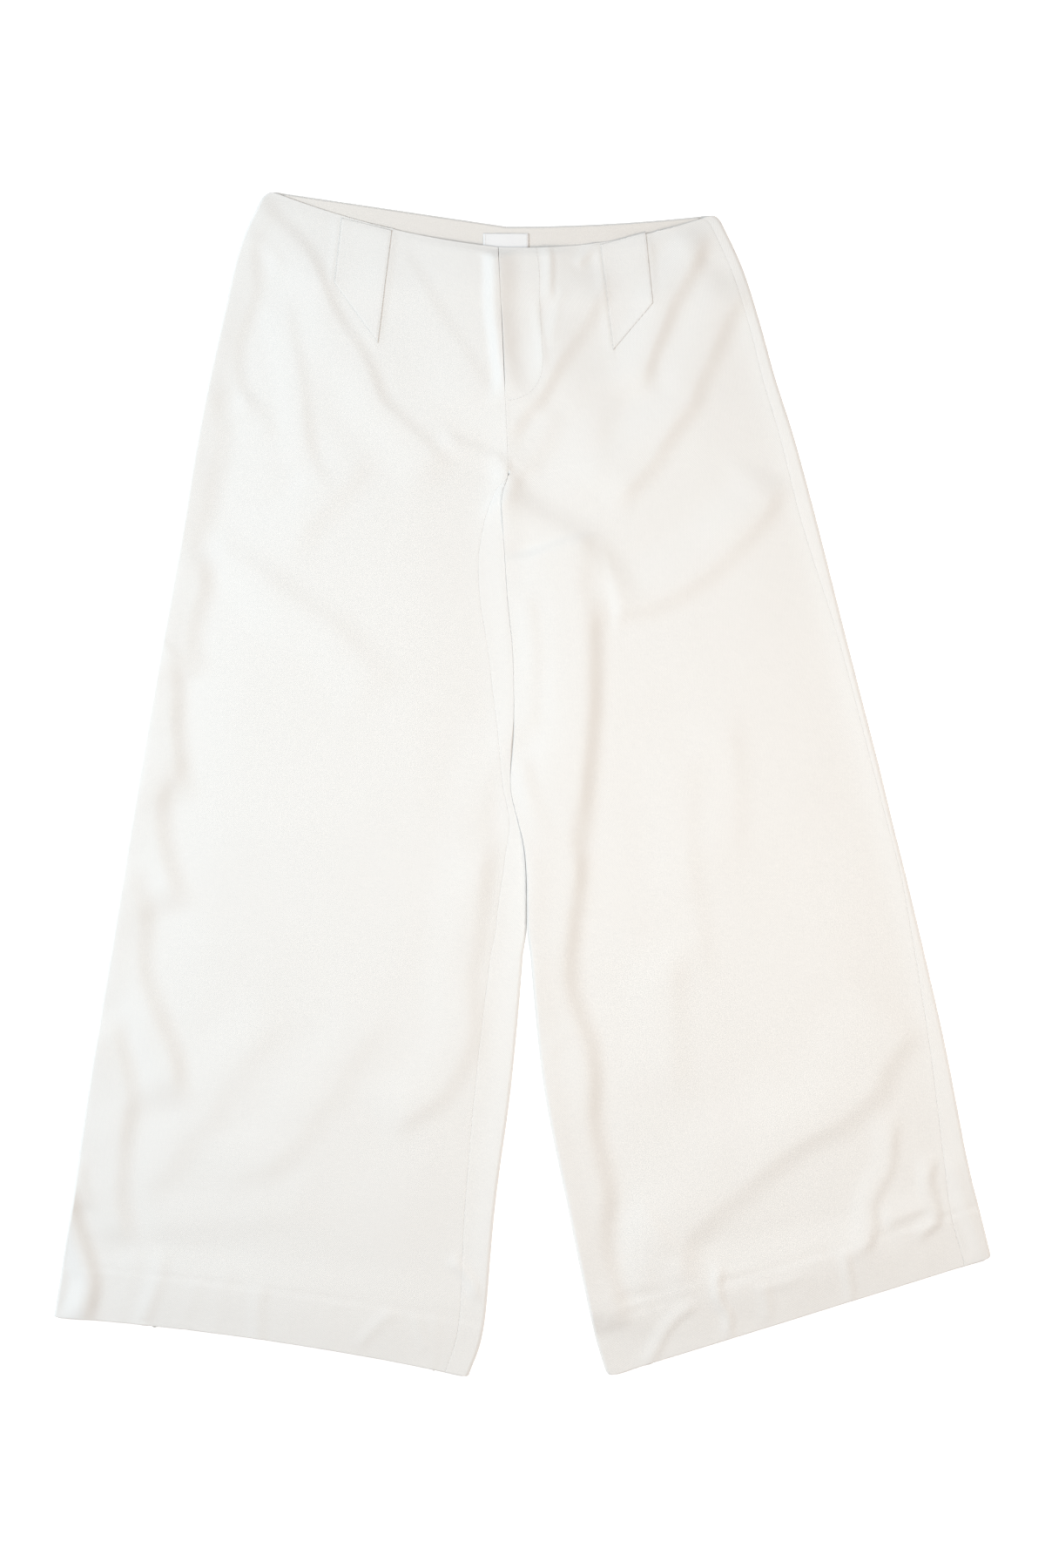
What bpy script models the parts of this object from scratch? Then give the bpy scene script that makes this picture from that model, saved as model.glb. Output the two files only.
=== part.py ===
"""Wide-leg trousers laid flat on their back, built from the pieces that are cut and sewn.

Each leg is a flattened tube of cloth. The side seam and the inseam part every section of the tube into a
front and a back. The backs lie on the ground, the fronts lie on the backs, and folds lift the fronts.
Sizes and places in the tables are millimetres from the middle of the laid-out trousers: x to the wearer's
left, y to the waist, z up. Right and left are the wearer's. The meshes are in metres.
"""

import math
from collections import namedtuple

import bmesh
import bpy
from mathutils import Vector
from mathutils.bvhtree import BVHTree

MM = 0.001

# The cloth, and how its layers lie on each other.
CLOTH = 1.2  # wall of one layer
HEM_CLOTH = 2.2  # wall where the hem is turned up
HEM_DEPTH = 45.0
SEAM_GAP = 0.3
LAYER_GAP = 0.4  # least air between the back and the front
EDGE_HEIGHT = 6.5  # the soft roll where the tube turns over at a side
EDGE_REACH = 14.0  # how far in from the side the roll dies away
ROLL_ANGLES = (18, 54, 90)  # where the roll's facets meet, from its middle to its top

# A section of a leg: its outer and inner ends, how far the front's and the back's lines bow from the straight
# one, and how far in from each end the seam lies on the upper side (0 puts it on the edge itself).
Section = namedtuple(
    "Section",
    "outer_x outer_y inner_x inner_y front_bow back_bow side_wrap inner_wrap",
)
RIGHT_LEG = (
    Section(-222.0, 511.0, -21.0, 461.6, -6.5, 0.0, 0, 0),  # waist
    Section(-244.0, 462.0, -19.5, 430.0, -3.0, 0.0, 0, 0),
    Section(-258.0, 405.0, -17.0, 385.0, 0.0, 0.0, 0, 0),  # hip
    Section(-271.5, 345.0, -15.0, 335.0, 0.0, 0.0, 0, 0),
    Section(-283.0, 285.0, -13.0, 266.6, 0.0, 0.0, 0, 5),  # crotch
    Section(-296.0, 205.0, -14.5, 190.0, 0.0, 0.0, 0, 20),
    Section(-314.0, 105.0, -8.3, 85.0, 0.0, 0.0, 0, 17),
    Section(-333.5, -10.0, -11.5, -15.0, 0.0, 0.0, 0, 6),
    Section(-343.0, -68.0, 1.6, -66.0, 0.0, 0.0, 0, 18),  # knee
    Section(-352.0, -125.0, 1.8, -130.0, 0.0, 0.0, 0, 27),
    Section(-371.6, -245.0, -9.0, -255.0, 0.0, 0.0, 0, 31),
    Section(-387.0, -350.0, -23.5, -365.0, 2.0, 2.0, 0, 26),
    Section(-397.0, -416.0, -33.0, -467.0, 4.0, 4.0, 0, 22),  # top of the turned-up hem
    Section(-404.0, -459.4, -46.5, -511.0, 6.5, 6.5, 0, 20),  # hem
)
LEFT_LEG = (
    Section(168.0, 490.0, -21.0, 461.6, -9.0, -2.5, 9, 0),  # waist
    Section(189.0, 445.0, -19.5, 430.0, -4.0, -1.0, 10, 0),
    Section(204.5, 397.0, -17.0, 385.0, 0.0, 0.0, 10, 0),  # hip
    Section(217.5, 350.0, -15.0, 335.0, 0.0, 0.0, 11, 0),
    Section(234.0, 298.0, -12.0, 266.6, 0.0, 0.0, 12, 0),  # crotch
    Section(254.5, 222.0, -13.5, 190.0, 0.0, 0.0, 13, 0),
    Section(279.0, 125.0, -7.3, 85.0, 0.0, 0.0, 7, 0),
    Section(306.0, 20.0, -10.5, -15.0, 0.0, 0.0, 6, 0),
    Section(320.0, -38.0, 3.6, -66.0, 0.0, 0.0, 5, 0),  # knee
    Section(333.0, -90.0, 5.2, -130.0, 0.0, 0.0, 5, 0),
    Section(362.0, -215.0, 17.0, -255.0, 0.0, 0.0, 13, 0),
    Section(382.5, -320.0, 38.5, -365.0, 0.0, 0.0, 20, 0),
    Section(393.5, -366.0, 60.0, -467.0, 0.0, 0.0, 25, 0),  # top of the turned-up hem
    Section(404.0, -408.4, 73.0, -511.0, 0.0, 0.0, 24, 0),  # hem
)
ROWS_BETWEEN = (2, 2, 2, 2, 3, 4, 4, 2, 2, 4, 4, 3, 2)  # mesh rows from each section to the next
CROTCH = 4  # index of the crotch's section
HEM_TOP = 12  # index of the section at the top of the hem
BESIDE = 0.06  # an extra row this part of a step from the crotch, and from the top of the hem
FRONT_COLUMNS = 20
BACK_COLUMNS = 7

# At the waist the back stands higher than the front, and its centre seam lies further to the wearer's left.
BACK_RISE = 18.4
BACK_SHIFT = 7.0

# Folds of the fronts: ridges from a start over a middle to an end. `lit` and `shade` are the widths of the
# slopes to the upper left and to the lower right.
Fold = namedtuple("Fold", "x0 y0 x1 y1 x2 y2 height lit shade")
FOLDS = (
    Fold(-216, 486, -150, 398, -70, 292, 8.0, 44, 22),  # hip to fly, wearer's right
    Fold(-196, 398, -188, 330, -180, 262, 3.0, 40, 26),
    Fold(-232, 452, -244, 392, -248, 335, 3.0, 22, 20),
    Fold(-300, 140, -304, 60, -296, 20, 3.5, 26, 22),
    Fold(-334, -94, -318, -160, -298, -240, 4.0, 30, 24),
    Fold(-250, 205, -190, 158, -128, 108, 3.0, 44, 34),
    Fold(-20, -5, -48, -130, -44, -240, 4.5, 34, 20),  # beside the inseam
    Fold(-232, -238, -292, -308, -334, -352, 3.5, 34, 26),
    Fold(-148, -246, -196, -300, -236, -342, 3.0, 30, 26),
    Fold(165, 470, 128, 410, 104, 340, 7.0, 34, 24),  # side seam to crotch, wearer's left
    Fold(184, 404, 140, 318, 90, 246, 4.0, 34, 26),
    Fold(66, 412, 20, 348, -4, 300, 6.0, 30, 20),
    Fold(-6, 262, 40, 226, 84, 166, 6.0, 34, 30),  # from the crotch
    Fold(40, 196, 52, 70, 38, -60, 7.0, 34, 24),  # along the inner thigh
    Fold(34, -84, 46, -250, 62, -430, 7.0, 32, 22),
    Fold(220, 226, 160, 186, 78, 146, 4.5, 34, 28),
    Fold(318, -232, 240, -270, 84, -402, 9.0, 46, 28),  # across the shin
    Fold(320, -300, 306, -350, 310, -398, 4.0, 26, 20),
)
SHADE_WAY = Vector((0.9, -0.45))

# What lies inside the waist, from the ground up, and how far it lifts the front.
FACING_DEPTH = 45.0
FACING_CLOTH = 1.0
FACING_LIFT = 1.4
FACING_INSET = 10.0  # from the facing's ends to the sides
LABEL_WIDTH = 39.0
LABEL_HEIGHT = 20.0
LABEL_CLOTH = 0.6
LABEL_X = -14.25
LABEL_TOP = 473.6
FLY_BOTTOM = 338.0
FLY_LEVEL = 5.4  # the front's upper side over the underlap and the zip
FLY_TOP_LEVEL = 7.9  # and over the label and the hook
FLY_MIDDLE = 14.0  # from the centre seam to the middle of what lies under the fly
FLY_HALF = 28.0
FLY_FADE = 30.0
UNDERLAP_WIDTH = 40.0
UNDERLAP_CLOTH = 1.0
UNDERLAP_TUCK = 4.0  # how far it lies under the right front's edge
ZIP_WIDTH = 24.0
ZIP_THICKNESS = 0.8
ZIP_TOP = 434.0
HOOK_SIZE = (9.0, 7.0, 1.2)
HOOK_Y = 449.0

# The pointed waist tabs, sewn into the waist: their corners, from the waist down to the point.
Tab = namedtuple("Tab", "name long_x long_y point_x point_y short_x short_y end_x end_y")
TABS = (
    Tab("tab_right", -112.5, 476.0, -124.5, 379.0, -156.0, 487.0, -162.0, 431.0),
    Tab("tab_left", 67.0, 464.0, 78.0, 373.0, 106.0, 474.5, 112.0, 413.0),
)
TAB_CLOTH = 1.6

# Colours, roughness and metallic value of each material.
Look = namedtuple("Look", "red green blue roughness metallic")
CREAM = Look(0.86, 0.84, 0.80, 0.85, 0.0)
WHITE = Look(0.90, 0.90, 0.89, 0.7, 0.0)
STEEL = Look(0.45, 0.44, 0.43, 0.35, 1.0)


def fade(value, full, none):
    """1 up to `full`, then smoothly down to 0 at `none`."""
    share = min(1.0, max(0.0, (value - full) / (none - full)))
    return 1.0 - share * share * (3.0 - 2.0 * share)


def along(table, column, index, share):
    """A column of a table on a smooth curve through its rows, between row `index` and the next."""
    values = [getattr(row, column) for row in table]
    here, after = values[index], values[min(index + 1, len(values) - 1)]
    before = values[max(index - 1, 0)]
    later = values[min(index + 2, len(values) - 1)]
    if index == 0:
        before = 2 * here - after
    if index + 2 >= len(values):
        later = 2 * after - here
    leave, reach = (after - before) / 2, (later - here) / 2
    square, cube = share**2, share**3
    return (
        here * (2 * cube - 3 * square + 1)
        + leave * (cube - 2 * square + share)
        + after * (3 * square - 2 * cube)
        + reach * (cube - square)
    )


class Row:
    """One line across a leg, from its outer end to its inner end."""

    def __init__(self, table, index, share, back):
        def read(column):
            return along(table, column, index, share)

        self.above_crotch = index < CROTCH
        self.place = index + share
        outer = Vector((read("outer_x"), read("outer_y")))
        inner = Vector((read("inner_x"), read("inner_y")))
        if back and self.above_crotch:
            left_to_crotch = 1.0 - self.place / CROTCH
            inner += Vector((BACK_SHIFT, BACK_RISE)) * left_to_crotch**2
        self.outer = outer
        self.width = (inner - outer).length
        self.way = (inner - outer) / self.width
        self.bow = read("back_bow" if back else "front_bow")
        self.side_wrap = read("side_wrap")
        self.inner_wrap = read("inner_wrap")
        self.cloth = HEM_CLOTH if self.place > HEM_TOP else CLOTH
        waist, hem = table[0], table[-1]
        middle = (outer + inner) / 2
        self.below_waist = (waist.outer_y + waist.inner_y) / 2 - middle.y
        self.above_hem = middle.y - (hem.outer_y + hem.inner_y) / 2

    def point(self, across, up):
        """The place `across` from the outer end and `up` from the ground."""
        share = across / self.width
        spot = self.outer + self.way * across
        return Vector((spot.x, spot.y + self.bow * 4 * share * (1 - share), up))


def rows_of(table, back):
    """The rows of a leg's mesh, with one more just above the crotch and one just inside the hem."""
    rows = []
    for index, count in enumerate(ROWS_BETWEEN):
        shares = [step / count for step in range(count)]
        if index == HEM_TOP:
            shares.insert(1, BESIDE / count)
        if index == CROTCH - 1:
            shares.append(1.0 - BESIDE / count)
        rows += [Row(table, index, share, back) for share in shares]
    rows.append(Row(table, len(ROWS_BETWEEN) - 1, 1.0, back))
    return rows


def fold_lift(spot):
    """How far the folds lift the cloth at a place."""
    lift = 0.0
    for fold in FOLDS:
        start, middle = Vector((fold.x0, fold.y0)), Vector((fold.x1, fold.y1))
        end = Vector((fold.x2, fold.y2))
        pull = 2 * middle - (start + end) / 2
        nearest, best = None, max(fold.lit, fold.shade)
        steps = 10
        for step in range(steps):
            a, b = step / steps, (step + 1) / steps
            first = start * (1 - a) ** 2 + pull * 2 * a * (1 - a) + end * a**2
            second = start * (1 - b) ** 2 + pull * 2 * b * (1 - b) + end * b**2
            run = second - first
            part = min(1.0, max(0.0, (spot - first).dot(run) / run.length_squared))
            off = spot - (first + run * part)
            if off.length < best:
                best = off.length
                nearest = (off, run, a + (b - a) * part)
        if nearest is None:
            continue
        off, run, reached = nearest
        across = Vector((run.y, -run.x)).normalized()
        if across.dot(SHADE_WAY) < 0:
            across = -across
        width = fold.shade if off.dot(across) > 0 else fold.lit
        if best < width:
            ends = 1.0 - fade(min(reached, 1.0 - reached), 0.0, 0.28)
            lift += fold.height * ends * math.cos(math.pi / 2 * best / width) ** 2
    return lift


def fly_middle(y):
    """x of the middle of what lies under the fly: it follows the centre front seam."""
    waist, crotch = RIGHT_LEG[0], RIGHT_LEG[CROTCH]
    share = (waist.inner_y - y) / (waist.inner_y - crotch.inner_y)
    return waist.inner_x + (crotch.inner_x - waist.inner_x) * share + FLY_MIDDLE


def front_height(row, across):
    """Height of the front's upper side, over the back, what lies between and the folds."""
    spot = row.point(across, 0.0).xy
    level = 2 * CLOTH + LAYER_GAP
    level += FACING_LIFT * fade(row.below_waist, FACING_DEPTH + 8, FACING_DEPTH + 40)
    level += 2 * (HEM_CLOTH - CLOTH) * fade(row.above_hem, HEM_DEPTH + 2, HEM_DEPTH + 35)
    under_fly = fade(abs(spot.x - fly_middle(spot.y)), FLY_HALF, FLY_HALF + FLY_FADE)
    under_fly *= fade(FLY_BOTTOM - spot.y, 0.0, FLY_FADE)
    fly_level = FLY_LEVEL + (FLY_TOP_LEVEL - FLY_LEVEL) * fade(HOOK_Y - spot.y, 14, 46)
    level += (fly_level - level) * under_fly
    rolled = math.exp(-((across / EDGE_REACH) ** 2))
    inner = math.exp(-(((row.width - across) / EDGE_REACH) ** 2))
    if row.above_crotch:
        inner *= 1.0 - fade(row.place, CROTCH - 1.0, CROTCH)
    level += max(0.0, EDGE_HEIGHT - level) * max(rolled, inner)
    return level + fold_lift(spot)


def roll(row, edge, inward, height, angles):
    """Points of the half round at a side, at angles up (90) or down (-90) from its middle."""
    radius = height / 2
    middle = math.cos(math.radians(ROLL_ANGLES[0]))
    return [
        (
            edge + inward * radius * (1 - math.cos(math.radians(a)) / middle),
            radius * (1 + math.sin(math.radians(a))),
        )
        for a in angles
    ]


def edge_height(row, inner):
    """Height of the half round at a side, read where it meets the upper side."""
    inset = EDGE_HEIGHT / 2
    return front_height(row, row.width - inset if inner else inset)


def spread(start, end, count):
    """`count` evenly spaced values from start to end."""
    return [start + (end - start) * step / (count - 1) for step in range(count)]


def seam_end(height, up):
    """Height of a seam on the middle of a side's roll, half a gap above or below it."""
    return height / 2 + (SEAM_GAP / 2 if up else -SEAM_GAP / 2)


def front_path(row):
    """The upper side of the front, from the side seam to the inseam or the centre front."""
    upper = list(ROLL_ANGLES)
    path = []
    outer_height = edge_height(row, inner=False)
    if row.side_wrap:
        start = row.side_wrap + SEAM_GAP / 2
    else:
        path = [(0.0, seam_end(outer_height, up=True))]
        path += roll(row, 0.0, 1, outer_height, upper[:-1])
        start = outer_height / 2
    inner_height = edge_height(row, inner=True)
    closed = not row.above_crotch
    if not closed:
        end = row.width - SEAM_GAP / 2
    elif row.inner_wrap:
        end = row.width - row.inner_wrap - SEAM_GAP / 2
    else:
        end = row.width - inner_height / 2
    path += [(across, front_height(row, across)) for across in spread(start, end, FRONT_COLUMNS)]
    if closed and not row.inner_wrap:
        path += roll(row, row.width, -1, inner_height, upper[-2::-1])
        path.append((row.width, seam_end(inner_height, up=True)))
    return path


def back_path(row):
    """The lower side of the back, from the side seam to the inseam or the centre back."""
    upper = list(ROLL_ANGLES)
    lower = [-angle for angle in upper]
    outer_height = edge_height(row, inner=False)
    path = []
    if row.side_wrap:
        for across in spread(row.side_wrap - SEAM_GAP / 2, outer_height / 2, 3):
            path.append((across, front_height(row, across)))
        path += roll(row, 0.0, 1, outer_height, upper[-2::-1])
    else:
        path.append((0.0, seam_end(outer_height, up=False)))
    path += roll(row, 0.0, 1, outer_height, lower[:-1])
    inner_height = edge_height(row, inner=True)
    closed = not row.above_crotch
    end = row.width - (inner_height / 2 if closed else SEAM_GAP / 2)
    path += [(across, 0.0) for across in spread(outer_height / 2, end, BACK_COLUMNS)]
    if not closed:
        return path
    path += roll(row, row.width, -1, inner_height, lower[-2::-1])
    if row.inner_wrap:
        path += roll(row, row.width, -1, inner_height, upper[:-1])
        top = row.width - inner_height / 2
        seam = row.width - row.inner_wrap + SEAM_GAP / 2
        path += [(across, front_height(row, across)) for across in spread(top, seam, 3)]
    else:
        path.append((row.width, seam_end(inner_height, up=False)))
    return path


def with_inside(row, path, outward):
    """Pairs of places on the outside and the inside of the cloth, along a path whose outside is its
    left (outward 1) or its right (outward -1)."""
    spots = [Vector(spot) for spot in path]
    pairs = []
    for index, here in enumerate(spots):
        near = spots[max(index - 1, 0) : index + 2]
        facings = [
            Vector((a.y - b.y, b.x - a.x)).normalized() * outward for a, b in zip(near, near[1:])
        ]
        facing = sum(facings, Vector((0.0, 0.0))).normalized()
        inside = here - facing * row.cloth / facing.dot(facings[0])
        pairs.append((row.point(*here), row.point(*inside)))
    return pairs


def material(name, look):
    """A Principled material of one colour."""
    made = bpy.data.materials.new(name)
    made.use_nodes = True
    shader = made.node_tree.nodes["Principled BSDF"]
    shader.inputs["Base Color"].default_value = (look.red, look.green, look.blue, 1.0)
    shader.inputs["Roughness"].default_value = look.roughness
    shader.inputs["Metallic"].default_value = look.metallic
    return made


def sheet(name, grid, look):
    """One closed piece of cloth from rows of (outside, inside) pairs; shorter rows leave a step in its edge."""
    mesh = bmesh.new()
    skins = [[[mesh.verts.new(pair[side] * MM) for pair in row] for row in grid] for side in (0, 1)]
    for outside, skin in zip((True, False), skins):
        for upper, lower in zip(skin, skin[1:]):
            for column in range(min(len(upper), len(lower)) - 1):
                corners = [upper[column], upper[column + 1], lower[column + 1], lower[column]]
                mesh.faces.new(corners if outside else corners[::-1])
    partner = {a: b for one, two in zip(*skins) for a, b in zip(one, two)}
    rims = [edge for edge in mesh.edges if edge.is_boundary and edge.verts[0] in partner]
    for edge in rims:
        loop = edge.link_loops[0]
        first, second = loop.vert, loop.link_loop_next.vert
        mesh.faces.new([second, first, partner[first], partner[second]])
    bmesh.ops.recalc_face_normals(mesh, faces=mesh.faces)
    data = bpy.data.meshes.new(name)
    mesh.to_mesh(data)
    mesh.free()
    data.shade_smooth()
    data.set_sharp_from_angle(angle=math.radians(40))
    data.materials.append(material(name, look))
    piece = bpy.data.objects.new(name, data)
    bpy.context.scene.collection.objects.link(piece)
    return piece


def legs():
    """The two fronts and the two backs."""
    made = {}
    for side, table in (("right", RIGHT_LEG), ("left", LEFT_LEG)):
        for panel, path in (("front", front_path), ("back", back_path)):
            back = panel == "back"
            grid = [
                with_inside(row, path(row), -1 if back else 1) for row in rows_of(table, back)
            ]
            made[f"{panel}_{side}"] = sheet(f"{panel}_{side}", grid, CREAM)
    return made


def slab(grid, cloth):
    """Pairs of places for a piece of even thickness, from rows of places on its lower side."""
    return [[(spot + Vector((0, 0, cloth)), spot) for spot in row] for row in grid]


def facing():
    """The strip of the same cloth that finishes the back waist on the inside."""
    right, left = rows_of(RIGHT_LEG, back=True)[0], rows_of(LEFT_LEG, back=True)[0]
    level = CLOTH + SEAM_GAP
    top = [right.point(a, level) for a in spread(FACING_INSET, right.width, 8)]
    top += [left.point(a, level) for a in spread(left.width, FACING_INSET, 8)][1:]
    middle = top[7].x
    grid = []
    for down in (0.6, FACING_DEPTH):
        grid.append(
            [Vector((p.x + (p.x - middle) * 0.08 * down / FACING_DEPTH, p.y - down, level)) for p in top]
        )
    sheet("back_facing", slab(grid, FACING_CLOTH), CREAM)


def label():
    """A bare woven label on the facing."""
    level = CLOTH + SEAM_GAP + FACING_CLOTH + SEAM_GAP
    half = LABEL_WIDTH / 2
    grid = [
        [Vector((LABEL_X + x, LABEL_TOP - down, level)) for x in (-half, half)]
        for down in (0.0, LABEL_HEIGHT)
    ]
    sheet("label", slab(grid, LABEL_CLOTH), WHITE)


def underlap_level(y):
    """Height of the underlap's lower side: over the label at the waist, on the back further down."""
    over_label = CLOTH + FACING_CLOTH + LABEL_CLOTH + 3 * SEAM_GAP
    on_back = CLOTH + SEAM_GAP
    return on_back + (over_label - on_back) * fade(HOOK_Y - y, 7, 37)


def strip(name, top, bottom, from_x, to_x, lift, cloth, look):
    """A strip under the fly that follows the centre front, `lift` over the underlap's lower side."""
    grid = []
    for y in spread(top, bottom, 10):
        seam = fly_middle(y) - FLY_MIDDLE
        level = underlap_level(y) + lift
        grid.append([Vector((seam + x, y, level)) for x in spread(from_x, to_x, 3)])
    sheet(name, slab(grid, cloth), look)


def fly():
    """The underlap behind the fly, the zip on it and the waist's hook."""
    left_edge = -UNDERLAP_TUCK
    strip(
        "fly_underlap",
        RIGHT_LEG[0].inner_y - 1,
        FLY_BOTTOM,
        left_edge,
        left_edge + UNDERLAP_WIDTH,
        0.0,
        UNDERLAP_CLOTH,
        CREAM,
    )
    on_underlap = UNDERLAP_CLOTH + SEAM_GAP
    zip_left = left_edge + (UNDERLAP_WIDTH - ZIP_WIDTH) / 2
    strip(
        "zip",
        ZIP_TOP,
        FLY_BOTTOM + 6,
        zip_left,
        zip_left + ZIP_WIDTH,
        on_underlap,
        ZIP_THICKNESS,
        WHITE,
    )
    width, depth, thickness = HOOK_SIZE
    level = underlap_level(HOOK_Y) + on_underlap
    middle = fly_middle(HOOK_Y) - 2
    grid = [
        [Vector((middle + x, HOOK_Y + y, level)) for x in (-width / 2, width / 2)]
        for y in (depth / 2, -depth / 2)
    ]
    sheet("waist_hook", slab(grid, thickness), STEEL)


def surface_over(piece):
    """A function that gives the height of a piece's upper side, the most within a small reach."""
    mesh = bmesh.new()
    mesh.from_mesh(piece.data)
    tree = BVHTree.FromBMesh(mesh)
    mesh.free()
    reach = 5.0

    def height(x, y):
        found = []
        for step_x in spread(-reach, reach, 5):
            for step_y in spread(-reach, reach, 5):
                start = Vector((x + step_x, y + step_y, 100.0)) * MM
                hit = tree.ray_cast(start, Vector((0, 0, -1)))[0]
                if hit is not None:
                    found.append(hit.z / MM)
        return max(found)

    return height


def tabs(fronts):
    """The two pointed tabs, each lying on its front."""
    for tab in TABS:
        height = surface_over(fronts[tab.name.replace("tab", "front")])
        grid = []
        for down in spread(0.0, 1.0, 11):
            long_side = Vector((tab.long_x, tab.long_y)).lerp(Vector((tab.point_x, tab.point_y)), down)
            short_side = Vector((tab.short_x, tab.short_y)).lerp(Vector((tab.end_x, tab.end_y)), down)
            line = [long_side.lerp(short_side, share) for share in spread(0.0, 1.0, 6)]
            grid.append([Vector((p.x, p.y, height(p.x, p.y) + SEAM_GAP)) for p in line])
        sheet(tab.name, slab(grid, TAB_CLOTH), CREAM)


for old in list(bpy.data.objects):
    bpy.data.objects.remove(old)
panels = legs()
facing()
label()
fly()
tabs(panels)
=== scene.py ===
"""Cream wide-leg trousers laid flat on their back, front side up, seen from straight above.

Sizes and places are millimetres from the middle of the laid-out trousers: x to the wearer's left, y to the
waist, z up. Right and left are the wearer's. Meshes are in metres. The sections follow the garment as it is
laid down: the floor and light, the two backs, what lies inside the waist, the two fronts, the stitching and
the waist tabs.
"""

import math

import bpy
import numpy as np
from collections import namedtuple
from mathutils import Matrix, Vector, noise
from mathutils.bvhtree import BVHTree


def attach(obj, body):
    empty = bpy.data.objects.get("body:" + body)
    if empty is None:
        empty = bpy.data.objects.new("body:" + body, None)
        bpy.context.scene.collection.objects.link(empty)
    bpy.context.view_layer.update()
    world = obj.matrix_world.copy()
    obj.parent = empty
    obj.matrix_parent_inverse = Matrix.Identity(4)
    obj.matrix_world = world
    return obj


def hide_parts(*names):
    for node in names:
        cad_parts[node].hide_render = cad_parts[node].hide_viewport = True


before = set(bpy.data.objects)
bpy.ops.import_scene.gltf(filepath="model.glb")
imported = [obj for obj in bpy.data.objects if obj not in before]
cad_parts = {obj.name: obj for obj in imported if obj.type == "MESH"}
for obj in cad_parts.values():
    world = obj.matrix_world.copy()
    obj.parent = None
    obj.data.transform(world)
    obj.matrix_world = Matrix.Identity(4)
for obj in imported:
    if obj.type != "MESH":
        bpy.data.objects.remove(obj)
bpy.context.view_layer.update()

# ---- The floor, the light and the camera --------------------------------------------------------------
# A plain white sweep that the trousers lie on. Soft light comes from a large panel on the left, a little cool,
# as a window is, and from weaker warm ones on the right, and the camera looks straight down.


class Value:
    """A socket of a finish. It can be added, taken away and multiplied as a number is, and each such step
    becomes a Math node of the material."""

    def __init__(self, finish, socket):
        self.finish = finish
        self.socket = socket

    def maths(self, operation, first, second):
        return self.finish.node("ShaderNodeMath", {"operation": operation}, {0: first, 1: second})

    def __add__(self, other):
        return self.maths("ADD", self, other)

    def __sub__(self, other):
        return self.maths("SUBTRACT", self, other)

    def __rsub__(self, other):
        return self.maths("SUBTRACT", other, self)

    def __mul__(self, other):
        return self.maths("MULTIPLY", self, other)

    __radd__ = __add__
    __rmul__ = __mul__


class Finish:
    """A Principled material whose constants are set on its own sockets."""

    def __init__(self, name, colour, roughness, **constants):
        self.material = bpy.data.materials.new(name)
        self.material.use_nodes = True
        self.tree = self.material.node_tree
        self.shader = self.tree.nodes["Principled BSDF"]
        self.shader.inputs["Base Color"].default_value = (*colour, 1.0)
        self.shader.inputs["Roughness"].default_value = roughness
        for socket in self.shader.inputs:
            wanted = socket.name.lower().replace(" ", "_")
            if wanted in constants:
                socket.default_value = constants[wanted]

    def node(self, kind, settings, inputs, output=0):
        """A new node: its settings first, then the values or links of its sockets."""
        made = self.tree.nodes.new(kind)
        for name, value in settings.items():
            setattr(made, name, value)
        for socket, value in inputs.items():
            self.feed(made.inputs[socket], value)
        return Value(self, made.outputs[output])

    def feed(self, socket, value):
        if isinstance(value, Value):
            self.tree.links.new(value.socket, socket)
        else:
            socket.default_value = value

    def on_object(self, scale=(1.0, 1.0, 1.0)):
        """The piece's own coordinates, stretched by a scale along each axis."""
        place = self.node("ShaderNodeTexCoord", {}, {}, "Object")
        return self.node("ShaderNodeMapping", {}, {"Vector": place, "Scale": scale})

    def on_cut(self, scale=(1.0, 1.0)):
        """The place on the cut piece, across and along the grain, stretched by a scale."""
        place = self.node("ShaderNodeTexCoord", {}, {}, "UV")
        return self.node("ShaderNodeMapping", {}, {"Vector": place, "Scale": (*scale, 1.0)})

    def speckle(self, place, size, detail=2.0):
        """Soft noise from 0 to 1."""
        settings = {"Vector": place, "Scale": 1.0 / size, "Detail": detail}
        return self.node("ShaderNodeTexNoise", {}, settings)

    def coloured(self, share, first, second):
        """Feeds the shader's colour: somewhere between two colours."""
        inputs = {0: share, 6: (*first, 1.0), 7: (*second, 1.0)}
        mixed = self.node("ShaderNodeMix", {"data_type": "RGBA"}, inputs, 2)
        self.feed(self.shader.inputs["Base Color"], mixed)

    def raised(self, height, depth):
        """Feeds the shader's normal from a height from 0 to 1, `depth` metres deep."""
        bump = {"Height": height, "Strength": 1.0, "Distance": depth}
        self.feed(self.shader.inputs["Normal"], self.node("ShaderNodeBump", {}, bump))


MM = 0.001
FLOOR_SIZE, FLOOR_LEVEL = 8000.0, -0.4
FLOOR_COLOURS = ((0.92, 0.92, 0.92), (0.94, 0.94, 0.94))
bpy.ops.object.select_all(action="DESELECT")
bpy.ops.mesh.primitive_plane_add(size=FLOOR_SIZE * MM, location=(0.0, 0.0, FLOOR_LEVEL * MM))
floor = bpy.context.object
floor.name = "floor"
bpy.ops.object.transform_apply(location=True)
glow = {"emission_color": (1, 1, 1, 1), "emission_strength": 0.55}
white_floor = Finish("white_floor", FLOOR_COLOURS[0], 0.9, **glow)
tone = white_floor.speckle(white_floor.on_object(), 0.4)
white_floor.coloured(tone, *FLOOR_COLOURS)
floor.data.materials.append(white_floor.material)

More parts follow.
